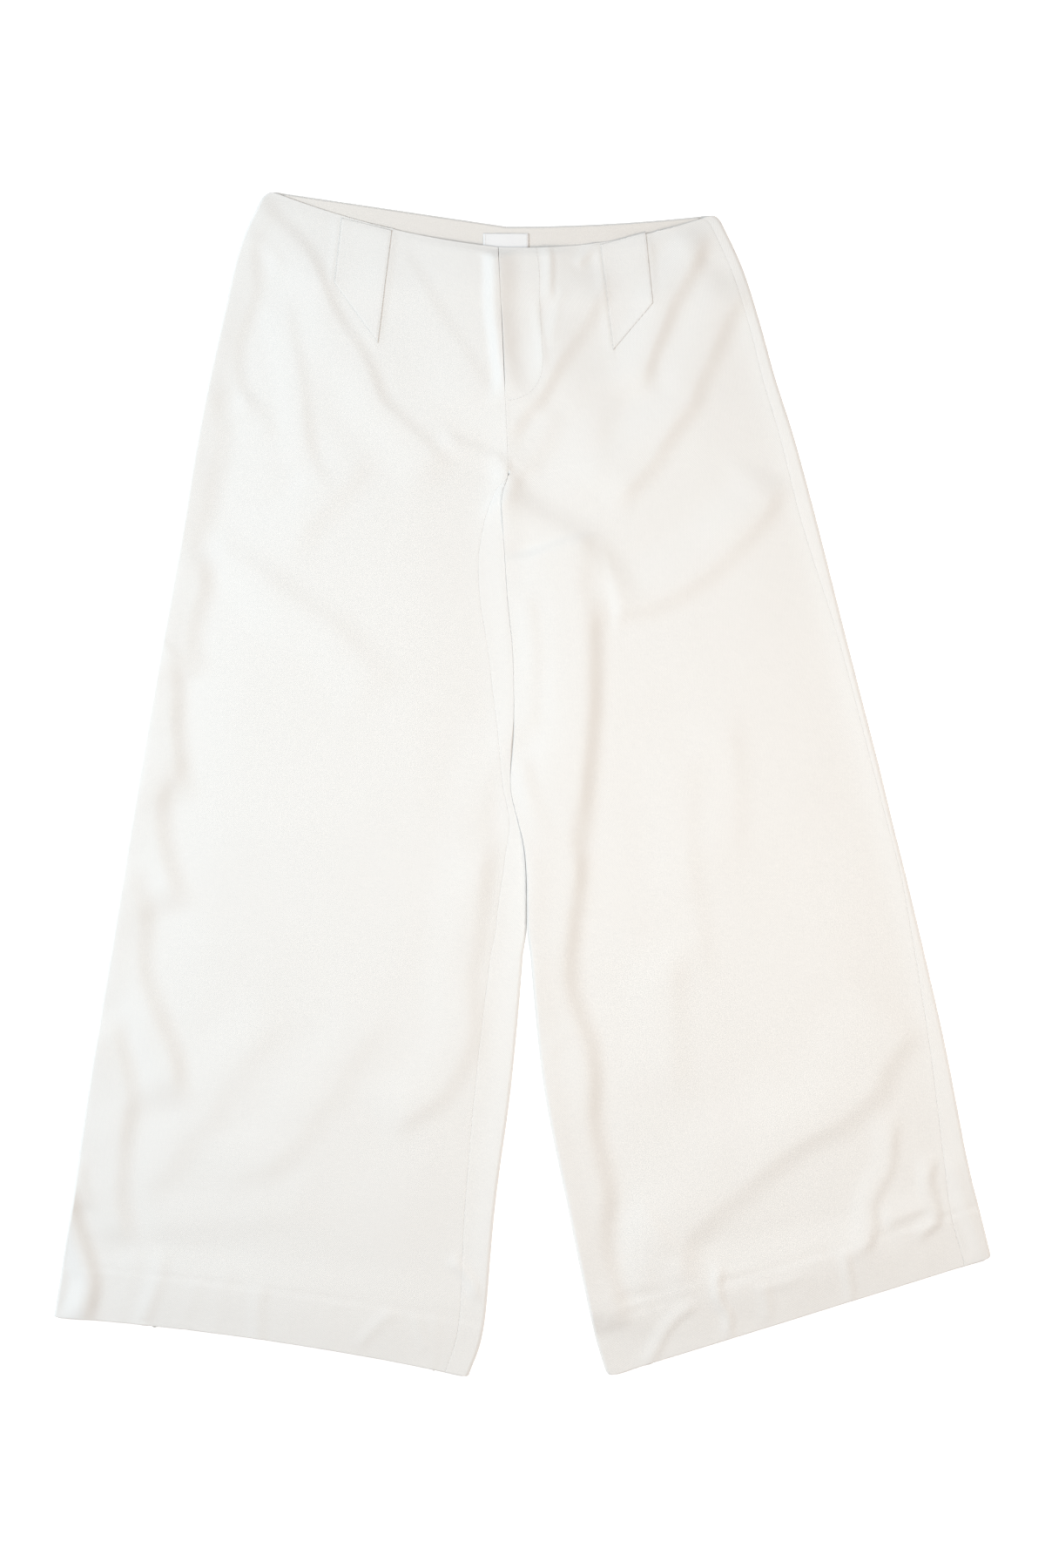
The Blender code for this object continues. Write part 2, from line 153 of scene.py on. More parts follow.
SURROUNDING_LIGHT, SURROUNDING_STRENGTH = (1.0, 0.945, 0.92, 1.0), 0.505
studio = bpy.data.worlds.new("studio")
studio.use_nodes = True
surroundings = studio.node_tree.nodes["Background"].inputs
surroundings["Color"].default_value = SURROUNDING_LIGHT
surroundings["Strength"].default_value = SURROUNDING_STRENGTH
bpy.context.scene.world = studio


def soft_panel(name, place, size, watts, colour):
    """A square light that faces the middle of the trousers."""
    lamp = bpy.data.lights.new(name, "AREA")
    lamp.shape = "SQUARE"
    lamp.size = size * MM
    lamp.energy = watts
    lamp.color = colour
    panel = bpy.data.objects.new(name, lamp)
    panel.location = Vector(place) * MM
    panel.rotation_euler = (-Vector(place)).to_track_quat("-Z", "Y").to_euler()
    panel.visible_camera = False
    bpy.context.scene.collection.objects.link(panel)


soft_panel("window", (-1600.0, 400.0, 1250.0), 900.0, 28.0, (0.755, 0.9, 1.0))
soft_panel("lamp", (350.0, -80.0, 1050.0), 700.0, 5.8, (1.0, 0.9, 0.79))
soft_panel("fill", (1500.0, -200.0, 350.0), 600.0, 1.8, (1.0, 0.93, 0.85))

# The photograph is 1800 pixels high, and its scale holds at the middle of the cloth's height.
MM_PER_PIXEL, PIXELS_HIGH, CLOTH_MIDDLE = 0.75, 1800, 3.0
LENS, FILM = 100.0, 36.0
PHOTO_MIDDLE_Y = -0.4
CLIP_END = 50.0  # metres
bpy.ops.object.select_all(action="DESELECT")
camera_data = bpy.data.cameras.new("camera")
camera_data.lens = LENS
camera_data.sensor_width = FILM
camera_data.clip_end = CLIP_END
camera = bpy.data.objects.new("camera", camera_data)
camera_height = LENS / FILM * MM_PER_PIXEL * PIXELS_HIGH + CLOTH_MIDDLE
camera.location = Vector((0.0, PHOTO_MIDDLE_Y, camera_height)) * MM
bpy.context.scene.collection.objects.link(camera)
bpy.context.scene.camera = camera
bpy.context.scene.view_settings.view_transform = "Standard"

# ---- The right and the left back ----------------------------------------------------------------------
# Cut from matt cream twill suiting, sewn together at the centre back and to the fronts, so that each leg is a
# flattened tube. They lie on the floor and turn up over the right leg's inner edge and the left leg's outer
# edge, where their seams show.

CLOTH = 1.2  # wall of one layer
HEM_CLOTH = 2.2  # wall where the hem is turned up
HEM_DEPTH = 45.0
HEM_STEP, HEM_GROOVE = 0.5, 0.35  # the turned-up cloth stands out along its top, under a fine stitched groove
SEAM_GAP = 0.02  # the seams are pulled shut
LAYER_GAP = 0.4  # least air between the back and the front
ROLL_HEIGHT = 5.6  # the soft roll where the tube turns over at a side
ROLL_REACH = 14.0  # how far in from the side the roll dies away
ROLL_HALF = 3.25  # from the edge to the top of the roll
PUFF = 2.4  # how much the middle of a leg stands over its sides

# A leg is read from sections: its outer and inner ends, how far the front's and the back's lines bow, and how
# far in from each end the seam lies on the upper side (0 puts it on the edge itself).
Section = namedtuple(
    "Section",
    "outer_x outer_y inner_x inner_y front_bow back_bow side_wrap inner_wrap",
)
RIGHT_LEG = (
    Section(-222.0, 511.0, -21.0, 461.6, -6.5, 0.0, 0, 0),  # waist
    Section(-244.0, 462.0, -19.5, 430.0, -3.0, 0.0, 0, 0),
    Section(-258.0, 405.0, -17.0, 385.0, 0.0, 0.0, 0, 0),  # hip
    Section(-271.5, 345.0, -15.0, 335.0, 0.0, 0.0, 0, 0),
    Section(-283.0, 285.0, -13.0, 266.6, 0.0, 0.0, 0, 3),  # crotch
    Section(-296.0, 205.0, -14.5, 190.0, 0.0, 0.0, 0, 23),
    Section(-314.0, 105.0, -8.3, 85.0, 0.0, 0.0, 0, 19),
    Section(-333.5, -10.0, -11.5, -15.0, 0.0, 0.0, 0, 6),
    Section(-343.0, -68.0, 1.6, -66.0, 0.0, 0.0, 0, 18),  # knee
    Section(-352.0, -125.0, 1.8, -130.0, 0.0, 0.0, 0, 27),
    Section(-371.6, -245.0, -9.0, -255.0, 0.0, 0.0, 0, 31),
    Section(-387.0, -350.0, -23.5, -365.0, 2.0, 2.0, 0, 26),
    Section(-397.0, -416.0, -33.0, -467.0, 4.0, 4.0, 0, 22),  # top of the turned-up hem
    Section(-404.0, -459.4, -46.5, -511.0, 6.5, 6.5, 0, 20),  # hem
)
LEFT_LEG = (
    Section(168.0, 490.0, -21.0, 461.6, -9.0, -2.5, 9, 0),  # waist
    Section(189.0, 445.0, -19.5, 430.0, -4.0, -1.0, 10, 0),
    Section(204.5, 397.0, -17.0, 385.0, 0.0, 0.0, 10, 0),  # hip
    Section(217.5, 350.0, -15.0, 335.0, 0.0, 0.0, 11, 0),
    Section(234.0, 298.0, -12.0, 266.6, 0.0, 0.0, 12, 0),  # crotch
    Section(254.5, 222.0, -13.5, 190.0, 0.0, 0.0, 13, 0),
    Section(279.0, 125.0, -7.3, 85.0, 0.0, 0.0, 7, 0),
    Section(306.0, 20.0, -10.5, -15.0, 0.0, 0.0, 6, 0),
    Section(320.0, -38.0, 3.6, -66.0, 0.0, 0.0, 5, 0),  # knee
    Section(333.0, -90.0, 5.2, -130.0, 0.0, 0.0, 5, 0),
    Section(362.0, -215.0, 17.0, -255.0, 0.0, 0.0, 13, 0),
    Section(382.5, -320.0, 38.5, -365.0, 0.0, 0.0, 20, 0),
    Section(393.5, -366.0, 60.0, -467.0, 0.0, 0.0, 25, 0),  # top of the turned-up hem
    Section(404.0, -408.4, 73.0, -511.0, 0.0, 0.0, 24, 0),  # hem
)
CROTCH = 4  # index of the crotch's section
HEM_TOP = 12  # index of the section at the top of the hem
BACK_RISE = 18.4  # at the waist the back stands higher than the front
BACK_SHIFT = 7.0  # and its centre seam lies further to the wearer's left
TOUCHING = (  # y, and the half width of the inner roll there: narrow where the legs press on each other
    (262, 0.02),
    (243, 0.03),
    (228, 0.12),
    (150, 0.2),
    (80, 0.12),
    (55, 0.3),
    (35, 1.5),
    (16, 0.8),
    (5, 0.15),
    (-40, 0.2),
    (-66, 0.6),
    (-100, 1.4),
    (-150, 3.25),
)
MEETING = (  # where the two fronts, and then the two legs, meet, from the waist down to where they part
    (-20.8, 461.6),
    (-19.4, 430),
    (-17, 385),
    (-15, 335),
    (-13.4, 300),
    (-12.5, 266.6),
    (-16.5, 253),
    (-18, 239),
    (-15.5, 200),
    (-12.8, 158),
    (-8.6, 116),
    (-7.4, 80),
    (-7.6, 50),
    (-9.2, 25),
    (-10.4, 3),
    (-9, -12),
    (-3.4, -34),
    (1.2, -54),
    (3.3, -76),
    (3.8, -100),
    (3.8, -128),
)
MEETING_END = (-120.0, -150.0)  # y where they come apart
SLIT = (  # y, and how far the fly's slit gapes there
    (461, 0.3),
    (448, 0.2),
    (436, 0.0),
    (413, 0.0),
    (404, 0.25),
    (372, 0.35),
    (350, 0.3),
    (341, 0.0),
)
CORNERS = {"right": (8.0, 2.0, 3.0), "left": (6.0, 4.0, 6.0)}  # radii: outer at waist, outer and inner at hem
INSEAM_CLIMBS = 14.0  # how far below the crotch the back's inseam has climbed up
LEGS_PART = 3.0  # how far below the crotch each leg is its own tube
LEAST_HALF = 0.05  # of an inner roll that is pressed shut
HEM_BLEND = 0.03  # of a section, over which the wall grows to the hem's

# Mesh lines: across a leg, beside an edge, and the finer places that smooth lines are read at.
ROW_STEP = 2.85
EDGE_STEPS = (0.0, 0.2, 0.6, 1.1, 1.8, 2.8)
SECTION_STEPS, MEETING_STEPS, CREASE_STEPS = 60, 200, 6


def eased(value, start, end):
    """0 up to start, then smoothly up to 1 at end."""
    share = np.clip((value - start) / (end - start), 0.0, 1.0)
    return share * share * (3.0 - 2.0 * share)


def smooth(values, places):
    """Values read from a smooth curve through a few of them, at places counted from the first."""
    values = np.asarray(values, float)
    first, last = 2 * values[:1] - values[1:2], 2 * values[-1:] - values[-2:-1]
    ends = np.concatenate([first, values, last])
    index = np.clip(places.astype(int), 0, len(values) - 2)
    share = (places - index).reshape((-1,) + (1,) * (values.ndim - 1))
    before, here, after, later = (ends[index + step] for step in range(4))
    leave, reach = (after - before) / 2, (later - here) / 2
    square, cube = share**2, share**3
    return (
        here * (2 * cube - 3 * square + 1)
        + leave * (cube - 2 * square + share)
        + after * (3 * square - 2 * cube)
        + reach * (cube - square)
    )


def corner_cut(far, radius):
    """How much a rounded corner takes off an edge, at a distance from the corner along the other edge."""
    rest = radius - np.minimum(far, radius)
    return radius - np.sqrt(radius**2 - rest**2)


def between_edges(length, count):
    """`count` places from 0 to length, close together at both ends."""
    near = np.array(EDGE_STEPS)
    middle = np.linspace(near[-1], length - near[-1], count - 2 * len(near) + 2)
    return np.concatenate([near[:-1], middle, length - near[:-1][::-1]])


class Leg:
    """The lines across one panel of a leg, from the waist to the hem, each from its outer end to its inner."""

    def __init__(self, side, back):
        table = RIGHT_LEG if side == "right" else LEFT_LEG
        hand = -1.0 if side == "right" else 1.0
        dense = np.linspace(0, len(table) - 1, SECTION_STEPS * (len(table) - 1) + 1)
        columns = {name: np.array([getattr(s, name) for s in table]) for name in Section._fields}

        def read(name, places):
            return smooth(columns[name], places)[:, None]

        middle_x = (read("outer_x", dense) + read("inner_x", dense)) / 2
        middle_y = (read("outer_y", dense) + read("inner_y", dense)) / 2
        steps = np.hypot(np.diff(middle_x[:, 0]), np.diff(middle_y[:, 0]))
        reached = np.concatenate([[0.0], np.cumsum(steps)])
        self.length = reached[-1]
        self.down = between_edges(self.length, int(self.length / ROW_STEP))[:, None]
        places = np.interp(self.down[:, 0], reached, dense)
        self.place = places[:, None]
        self.side, self.back = side, back
        outer_x, outer_y = read("outer_x", places), read("outer_y", places)
        inner_x, inner_y = read("inner_x", places), read("inner_y", places)
        middle_y = (outer_y + inner_y) / 2
        self.below_waist = (table[0].outer_y + table[0].inner_y) / 2 - middle_y
        self.above_hem = middle_y - (table[-1].outer_y + table[-1].inner_y) / 2
        self.below_crotch = table[CROTCH].inner_y - inner_y
        self.parted = eased(self.below_crotch, 0.0, LEGS_PART)  # 0 where the legs are still one
        line = smooth(np.array(MEETING), np.linspace(0, len(MEETING) - 1, MEETING_STEPS))[::-1]
        met_x = np.interp(inner_y, line[:, 1], line[:, 0]) + hand * SEAM_GAP
        slit_y, gape = np.array(SLIT[::-1]).T
        half_gape = 0.0 if back else hand * np.interp(inner_y, slit_y, gape) / 2
        inner_x = inner_x + (met_x + half_gape - inner_x) * eased(inner_y, *MEETING_END[::-1])
        if back:
            rising = np.clip(1.0 - self.place / CROTCH, 0.0, 1.0) ** 2
            inner_x, inner_y = inner_x + BACK_SHIFT * rising, inner_y + BACK_RISE * rising
        self.width = np.hypot(inner_x - outer_x, inner_y - outer_y)
        self.way_x = (inner_x - outer_x) / self.width
        self.way_y = (inner_y - outer_y) / self.width
        at_waist, at_hem, inner_hem = CORNERS[side]
        up = self.length - self.down
        outer_cut = corner_cut(self.down, at_waist) + corner_cut(up, at_hem)
        self.width = self.width - outer_cut - corner_cut(up, inner_hem)
        self.outer_x, self.outer_y = outer_x + self.way_x * outer_cut, outer_y + self.way_y * outer_cut
        self.bow = read("back_bow" if back else "front_bow", places)
        self.front = Leg(side, back=False) if back else self
        self.side_wrap = np.maximum(read("side_wrap", places), 0.0)
        self.inner_wrap = np.maximum(read("inner_wrap", places), 0.0)
        self.inner_wrap = self.inner_wrap * eased(self.below_crotch, 0.0, INSEAM_CLIMBS)
        places_y, halves = np.array(TOUCHING[::-1]).T
        self.inner_half = self.parted * np.interp(inner_y, places_y, halves) + LEAST_HALF
        at_hem = eased(self.place, HEM_TOP - HEM_BLEND, HEM_TOP + HEM_BLEND)
        self.cloth = CLOTH + (HEM_CLOTH - CLOTH) * at_hem

    def spot(self, across):
        """x and y at distances across from the outer end."""
        share = across / self.width
        x = self.outer_x + self.way_x * across
        y = self.outer_y + self.way_y * across
        return x, y + self.bow * 4 * share * (1 - share)


def ripple(x, y, size, seed):
    """Uneven cloth: soft noise from -1 to 1, about `size` millimetres from bump to bump."""
    flat = zip((x / size).ravel(), (y / size).ravel())
    values = [noise.noise(Vector((a, b, seed))) for a, b in flat]
    return np.array(values).reshape(x.shape)


# A crease is a line of steepest fall. The cloth rises gently over `lit` on the side of the
# window and falls over `shade` on the other side. Past its ends the crease fades out, over the lengths in
# `fade` where these are given, and grows wider.
Crease = namedtuple("Crease", "height lit shade line fade", defaults=((None, None),))
FALL_WAY = np.array((0.94, -0.34))  # creases fall this way, from the window
FADE_SHARE, FADE_MORE, FADE_MOST = 0.3, 3.0, 34.0  # a fade that isn't given: a share of the length and more
FADE_LEAST = 0.1
FADE_PAST = 0.75  # how much of a fade lies past the end of the line
FALL_WIDTH, CREST_BEFORE = 1.35, 0.45  # the falling side's width and the crest's place, in shades
END_WIDENS = 0.5
CREASE_UNEVEN = 0.35
CREASE_RIPPLE = (42.0, 12.5)  # of each ripple: the size of its bumps and the layer of noise that it reads
FOLD_LIMIT = 8.5  # where folds meet, the cloth stands no higher than this


def crease_lift(creases, x, y):
    """How far creases lift the cloth."""
    lift = np.zeros_like(x)
    for crease in creases:
        knots = np.array(crease.line, float)
        length = np.hypot(*np.diff(knots, axis=0).T).sum()
        usual = min(FADE_SHARE * length + FADE_MORE, FADE_MOST)
        fades = [max(usual if fade is None else fade, FADE_LEAST) for fade in crease.fade]
        ahead, behind = knots[0] - knots[1], knots[-1] - knots[-2]
        first = knots[0] + FADE_PAST * fades[0] * ahead / np.hypot(*ahead)
        last = knots[-1] + FADE_PAST * fades[1] * behind / np.hypot(*behind)
        chord = last - first
        hand = 1.0 if chord[1] * FALL_WAY[0] - chord[0] * FALL_WAY[1] > 0 else -1.0
        knots = np.concatenate([[first], knots, [last]])
        line = smooth(knots, np.linspace(0, len(knots) - 1, CREASE_STEPS * (len(knots) - 1) + 1))
        steps = np.hypot(*np.diff(line, axis=0).T)
        passed = np.concatenate([[0.0], np.cumsum(steps)])
        fall = FALL_WIDTH * crease.shade
        reach = 1.6 * max(crease.lit, fall) + 2.0  # more than the crease is wide at its ends
        low, high = line.min(axis=0) - reach, line.max(axis=0) + reach
        near = (x > low[0]) & (x < high[0]) & (y > low[1]) & (y < high[1])
        near_x, near_y = x[near], y[near]
        best = np.full(near_x.shape, 1e9)
        signed, reached = np.zeros_like(best), np.zeros_like(best)
        for start, end, behind_it, step in zip(line, line[1:], passed, steps):
            run_x, run_y = end - start
            off_x, off_y = near_x - start[0], near_y - start[1]
            share = np.clip((off_x * run_x + off_y * run_y) / step**2, 0.0, 1.0)
            off_x, off_y = off_x - share * run_x, off_y - share * run_y
            far = np.hypot(off_x, off_y)
            closer = far < best
            beside = np.sign(hand * (off_x * run_y - off_y * run_x))
            best = np.where(closer, far, best)
            signed = np.where(closer, far * beside, signed)
            reached = np.where(closer, behind_it + share * step, reached)
        ends = eased(reached, 0.0, fades[0]) * eased(passed[-1] - reached, 0.0, fades[1])
        from_crest = signed + CREST_BEFORE * crease.shade
        width = np.where(from_crest > 0, fall, crease.lit) * (1 + END_WIDENS - END_WIDENS * ends)
        share = np.minimum(np.abs(from_crest) / width, 1.0)
        rising = np.cos(math.pi / 2 * share) ** 2
        falling = (1 - share) ** 3 * (1 + 3 * share)
        lift[near] += crease.height * ends * np.where(from_crest > 0, falling, rising)
    lift = lift * (1.0 + CREASE_UNEVEN * ripple(x, y, *CREASE_RIPPLE))
    return lift / (1.0 + (np.maximum(lift, 0.0) / FOLD_LIMIT) ** 4) ** 0.25


# What lies inside the waist lifts the upper side: the facing, and over it the fly with its zip and hook. The
# fades are from where the upper side starts to come down to where it is down. The waist edge is pressed flat.
FACING_DEPTH, FACING_LIFT, FACING_FADE = 45.0, 1.4, (53.0, 85.0)
FLY_BOTTOM = 338.0
FLY_LEVEL, FLY_TOP_LEVEL = 5.4, 7.9
FLY_MIDDLE = 14.0  # from the slit
FLY_HALF = 28.0
FLY_FADE, FLY_FADE_RIGHT, FLY_FADE_LEFT = 30.0, 72.0, 39.0
HOOK_Y, HOOK_FADE = 449.0, (14.0, 46.0)
WAIST_PRESS = 9.0  # how far down the waist edge is pressed
WAIST_LEVEL, WAIST_OVER_FLY, WAIST_DOWN = 3.5, 2.1, 2.6  # down to this, more over the fly, by this at most
HEM_FADE = (47.0, 80.0)
HEM_RIPPLE, HEM_UNEVEN = (21.0, 2.5), {"right": 1.0, "left": 1.3}
PUCKER_RIPPLE, PUCKERS, PUCKER_REACH = (9.0, 6.5), {"right": 0.25, "left": 0.55}, 6.0
PUFF_SIDES, PUFF_ENDS = (6.0, 90.0), (0.0, 60.0)  # from a side and from an end, where the puff grows
LOOSE = 0.3  # the upper side never lies quite down


def fly_seam(y):
    """x of the fly's slit and of the seam below it."""
    waist, crotch = RIGHT_LEG[0], RIGHT_LEG[CROTCH]
    share = (waist.inner_y - y) / (waist.inner_y - crotch.inner_y)
    return waist.inner_x + (crotch.inner_x - waist.inner_x) * share


def upper_level(leg, x, y, across):
    """Height of the upper side before its creases: over the back, the hem and what lies inside the waist."""
    level = 2 * CLOTH + LAYER_GAP + FACING_LIFT * (1 - eased(leg.below_waist, *FACING_FADE))
    level = level + 2 * (HEM_CLOTH - CLOTH) * (1 - eased(leg.above_hem, *HEM_FADE))
    middle = fly_seam(y) + FLY_MIDDLE
    fade = np.where(x < middle, FLY_FADE_RIGHT, FLY_FADE_LEFT)
    over_fly = 1 - eased(np.abs(x - middle), FLY_HALF, FLY_HALF + fade)
    over_fly = over_fly * (1 - eased(FLY_BOTTOM - y, 0.0, FLY_FADE))
    fly_level = FLY_LEVEL + (FLY_TOP_LEVEL - FLY_LEVEL) * (1 - eased(HOOK_Y - y, *HOOK_FADE))
    level = level + (fly_level - level) * over_fly
    from_inner = leg.width - across
    rolled = np.exp(-((across / ROLL_REACH) ** 2))
    inner = np.exp(-((from_inner / ROLL_REACH) ** 2)) * eased(leg.place, CROTCH - 1.0, CROTCH)
    level = level + np.maximum(0.0, ROLL_HEIGHT - level) * np.maximum(rolled, inner)
    pressed = 1 - eased(leg.below_waist, 0.0, WAIST_PRESS)
    level = level - pressed * np.clip(level - WAIST_LEVEL - WAIST_OVER_FLY * over_fly, 0.0, WAIST_DOWN)
    tube = eased(leg.place, CROTCH - 1.5, CROTCH)  # 0 where the two sides of the body are one
    from_side = np.minimum(across, from_inner * tube + 200 * (1 - tube))
    from_end = np.minimum(leg.below_waist, leg.above_hem + 20)
    puffed = PUFF * eased(from_side, *PUFF_SIDES) * eased(from_end, *PUFF_ENDS)
    over_hem_top = leg.above_hem - HEM_DEPTH
    hem_step = HEM_STEP * (1 - eased(over_hem_top, -1.5, 1.0))
    hem_groove = HEM_GROOVE * np.exp(-(((over_hem_top - 1.2) / 1.5) ** 2))
    uneven = (0.8 + 0.6 * ripple(x, y, *HEM_RIPPLE)) * HEM_UNEVEN[leg.side]
    puckers = ripple(x, y, *PUCKER_RIPPLE) * np.exp(-((over_hem_top / PUCKER_REACH) ** 2))
    return level + LOOSE + puffed + (hem_step - hem_groove) * uneven + puckers * PUCKERS[leg.side]


FINE_PLACES = 1500
WIDEST_STEP, CLOSEST_STEP, STEP_GROWS = 1.35, 0.22, 0.3  # the widest is in even steps


def spread_columns(bends, count):
    """`count` places along each row, closer together at its ends and at each bend between them."""
    fine = np.linspace(0.0, 1.0, FINE_PLACES)
    places = []
    for row in bends:
        way = fine * row[-1]
        step = np.full_like(way, WIDEST_STEP * row[-1] / count)
        for bend in row:
            step = np.minimum(step, CLOSEST_STEP + STEP_GROWS * np.abs(way - bend))
        reached = np.concatenate([[0.0], np.cumsum(1.0 / step[1:])])
        places.append(np.interp(np.linspace(0.0, reached[-1], count), reached, way))
    return np.array(places)


OUTER_QUARTER = 5.1  # length of cloth in a quarter of the outer roll
INNER_QUARTER, INNER_GROWS = 3.15, 0.6  # in a flat inner roll, and how much more its half width adds
INNER_BEND = 3.2  # how far before its end the columns draw together for an inner roll, even without one


def wound(leg, face, outer_turn, inner_turn, seam_in, columns):
    """Places on the outside of a panel that turns round the tube's sides.

    face is 90 for the upper side and -90 for the lower one. The turns are in degrees, from the seam to that
    face. Returns how far across each place is, its angle on the roll, and its way along the panel."""
    hand = math.copysign(1.0, face)
    outer_half, inner_half = np.full_like(leg.width, ROLL_HALF), leg.inner_half
    outer_roll = OUTER_QUARTER * outer_turn / 90
    inner_roll = (INNER_GROWS * inner_half + INNER_QUARTER) * inner_turn / 90
    lead = np.where(outer_turn > 179, leg.side_wrap - SEAM_GAP / 2 - outer_half, 0.0)
    tail = np.where(inner_turn > 179, leg.inner_wrap - SEAM_GAP / 2 - inner_half, 0.0)
    lead, tail = np.maximum(lead, 0.0), np.maximum(tail, 0.0)
    start = np.where(outer_turn > 0, outer_half, leg.side_wrap + SEAM_GAP / 2)
    end = np.where(inner_turn > 0.5, leg.width - inner_half, leg.width - seam_in)
    face_run = end - start
    total = lead + outer_roll + face_run + inner_roll + tail
    round_inner = total - tail - np.maximum(inner_roll, INNER_BEND)
    bends = np.concatenate([0 * lead, lead, lead + outer_roll, round_inner, total - tail, total], axis=1)
    way = spread_columns(bends, columns)
    on_lead = np.minimum(way, lead)
    on_outer = np.clip(way - lead, 0.0, outer_roll)
    on_face = np.clip(way - lead - outer_roll, 0.0, face_run)
    on_inner = np.clip(way - lead - outer_roll - face_run, 0.0, inner_roll)
    on_tail = np.clip(way - lead - outer_roll - face_run - inner_roll, 0.0, tail)
    before, after = on_outer < outer_roll, on_inner > 0
    outer_angle = face - hand * outer_turn * (1 - on_outer / np.maximum(outer_roll, 1e-6))
    inner_angle = face - hand * inner_turn * on_inner / np.maximum(inner_roll, 1e-6)
    angle = np.where(before, outer_angle, np.where(after, inner_angle, face))
    around = 1 - np.cos(np.radians(angle))
    across = np.where(before, outer_half * around + (lead - on_lead), start + on_face)
    across = np.where(after, leg.width - inner_half * around - on_tail, across)
    return across, angle, way, total


SEAM_DIP, SEAM_REACH = 0.12, 1.4  # the soft trough along a seam
RIDGE, RIDGE_REACH = 2.6, 2.2  # the light ridge on the centre front seam, in dips
SEAM_ROUNDING, SEAM_TURN = 0.2, 0.3  # how far from a seam the cloth turns down into it, and how much
FOLD_LEAST = 0.15  # of the wall at the very edge of a fold
WAIST_THIN, THIN_FADE = 0.5, (0.5, 4.0)  # the pressed waist edge is thinner than the cloth beside it
TURNED_IN, TURNED_FADE = 0.55, (2.0, 3.4)  # under it the front is turned in, deeper where it stands high
TURNED_OVER, TURNED_MOST = 5.0, 2.4


def panel(name, leg, across, angle, way, total, height, under, outward):
    """A closed sheet of cloth whose outside is at the given places, with its cut's own UV map."""
    front = 0.0 if leg.back else 1.0
    upward = (1 + np.sin(np.radians(angle))) / 2
    x, y = leg.spot(across)
    open_fly = front * (1 - eased(FLY_BOTTOM + 4 - y, 0.0, 6.0))
    if leg.back:
        over_x, over_y = leg.front.spot(across)
        x, y = x + (over_x - x) * upward, y + (over_y - y) * upward
    z = height * upward + under * np.maximum(0.0, 1 - 2 * upward)
    skin = np.stack([x, y, z], axis=2)
    facing = np.cross(np.gradient(skin, axis=0), np.gradient(skin, axis=1)) * outward
    facing /= np.maximum(np.linalg.norm(facing, axis=2, keepdims=True), 1e-9)
    from_end = total - way
    sewn_front = front * (1 - open_fly) * (leg.parted == 0)
    dip = np.exp(-((way / SEAM_REACH) ** 2)) + np.exp(-((from_end / SEAM_REACH) ** 2)) * (1 - open_fly)
    dip = dip - RIDGE * sewn_front * np.exp(-((from_end / RIDGE_REACH) ** 2))
    skin = skin - facing * (SEAM_DIP * dip)[:, :, None]
    half = (leg.cloth - WAIST_THIN * (1 - eased(leg.down, *THIN_FADE))) / 2
    by_seam = 1 - np.clip(np.minimum(way, from_end + sewn_front) / SEAM_ROUNDING, 0.0, 1.0)
    from_fold = np.minimum(leg.down, leg.length - leg.down)
    lapping = (open_fly > 0.5) & (leg.side == "left")
    from_fold = np.where(lapping, np.minimum(from_fold, from_end), from_fold)
    by_fold = 1 - np.clip(from_fold / half, 0.0, 1.0)
    rounded = np.maximum(np.sqrt(1 - by_fold**2), FOLD_LEAST)
    swell = half * np.minimum(np.sqrt(1 - SEAM_TURN * by_seam**2), rounded)
    turned_in = front * TURNED_IN * np.clip(height - TURNED_OVER, 0.0, TURNED_MOST)
    turned_in = turned_in * (1 - eased(leg.down, *TURNED_FADE))
    outside = skin - facing * (half - swell)[:, :, None]
    inside = skin - facing * (half + swell + turned_in)[:, :, None]
    grain = np.stack([way - total / 2, np.broadcast_to(leg.down, way.shape)], axis=2) * MM
    return shell(name, outside, inside, grain, outward)


def shell(name, outside, inside, grain, outward):
    """One closed mesh from the outside and the inside of a sheet, each a grid of places."""
    rows, columns = outside.shape[:2]
    count = rows * columns
    number = np.arange(count).reshape(rows, columns)
    quads = np.stack([number[:-1, :-1], number[1:, :-1], number[1:, 1:], number[:-1, 1:]], axis=2)
    quads = quads.reshape(-1, 4)
    rim = np.concatenate([number[0, :-1], number[:-1, -1], number[-1, :0:-1], number[:0:-1, 0]])
    ahead = np.roll(rim, -1)
    sides = np.stack([rim, ahead, ahead + count, rim + count], axis=1)
    faces = np.concatenate([quads, quads[:, ::-1] + count, sides])
    if outward < 0:
        faces = faces[:, ::-1]
    data = bpy.data.meshes.new(name)
    places = np.concatenate([outside.reshape(-1, 3), inside.reshape(-1, 3)]) * MM
    data.vertices.add(len(places))
    data.vertices.foreach_set("co", places.astype(np.float32).ravel())
    data.loops.add(faces.size)
    data.loops.foreach_set("vertex_index", faces.astype(np.int32).ravel())
    data.polygons.add(len(faces))
    data.polygons.foreach_set("loop_start", np.arange(0, faces.size, 4, dtype=np.int32))
    data.update(calc_edges=True)
    data.validate()
    cut = data.uv_layers.new(name="cut")
    both = np.concatenate([grain.reshape(-1, 2)] * 2)
    corners = np.empty(len(data.loops), np.int32)
    data.loops.foreach_get("vertex_index", corners)
    cut.data.foreach_set("uv", both[corners].astype(np.float32).ravel())
    data.shade_smooth()
    piece = bpy.data.objects.new(name, data)
    bpy.context.scene.collection.objects.link(piece)
    return piece


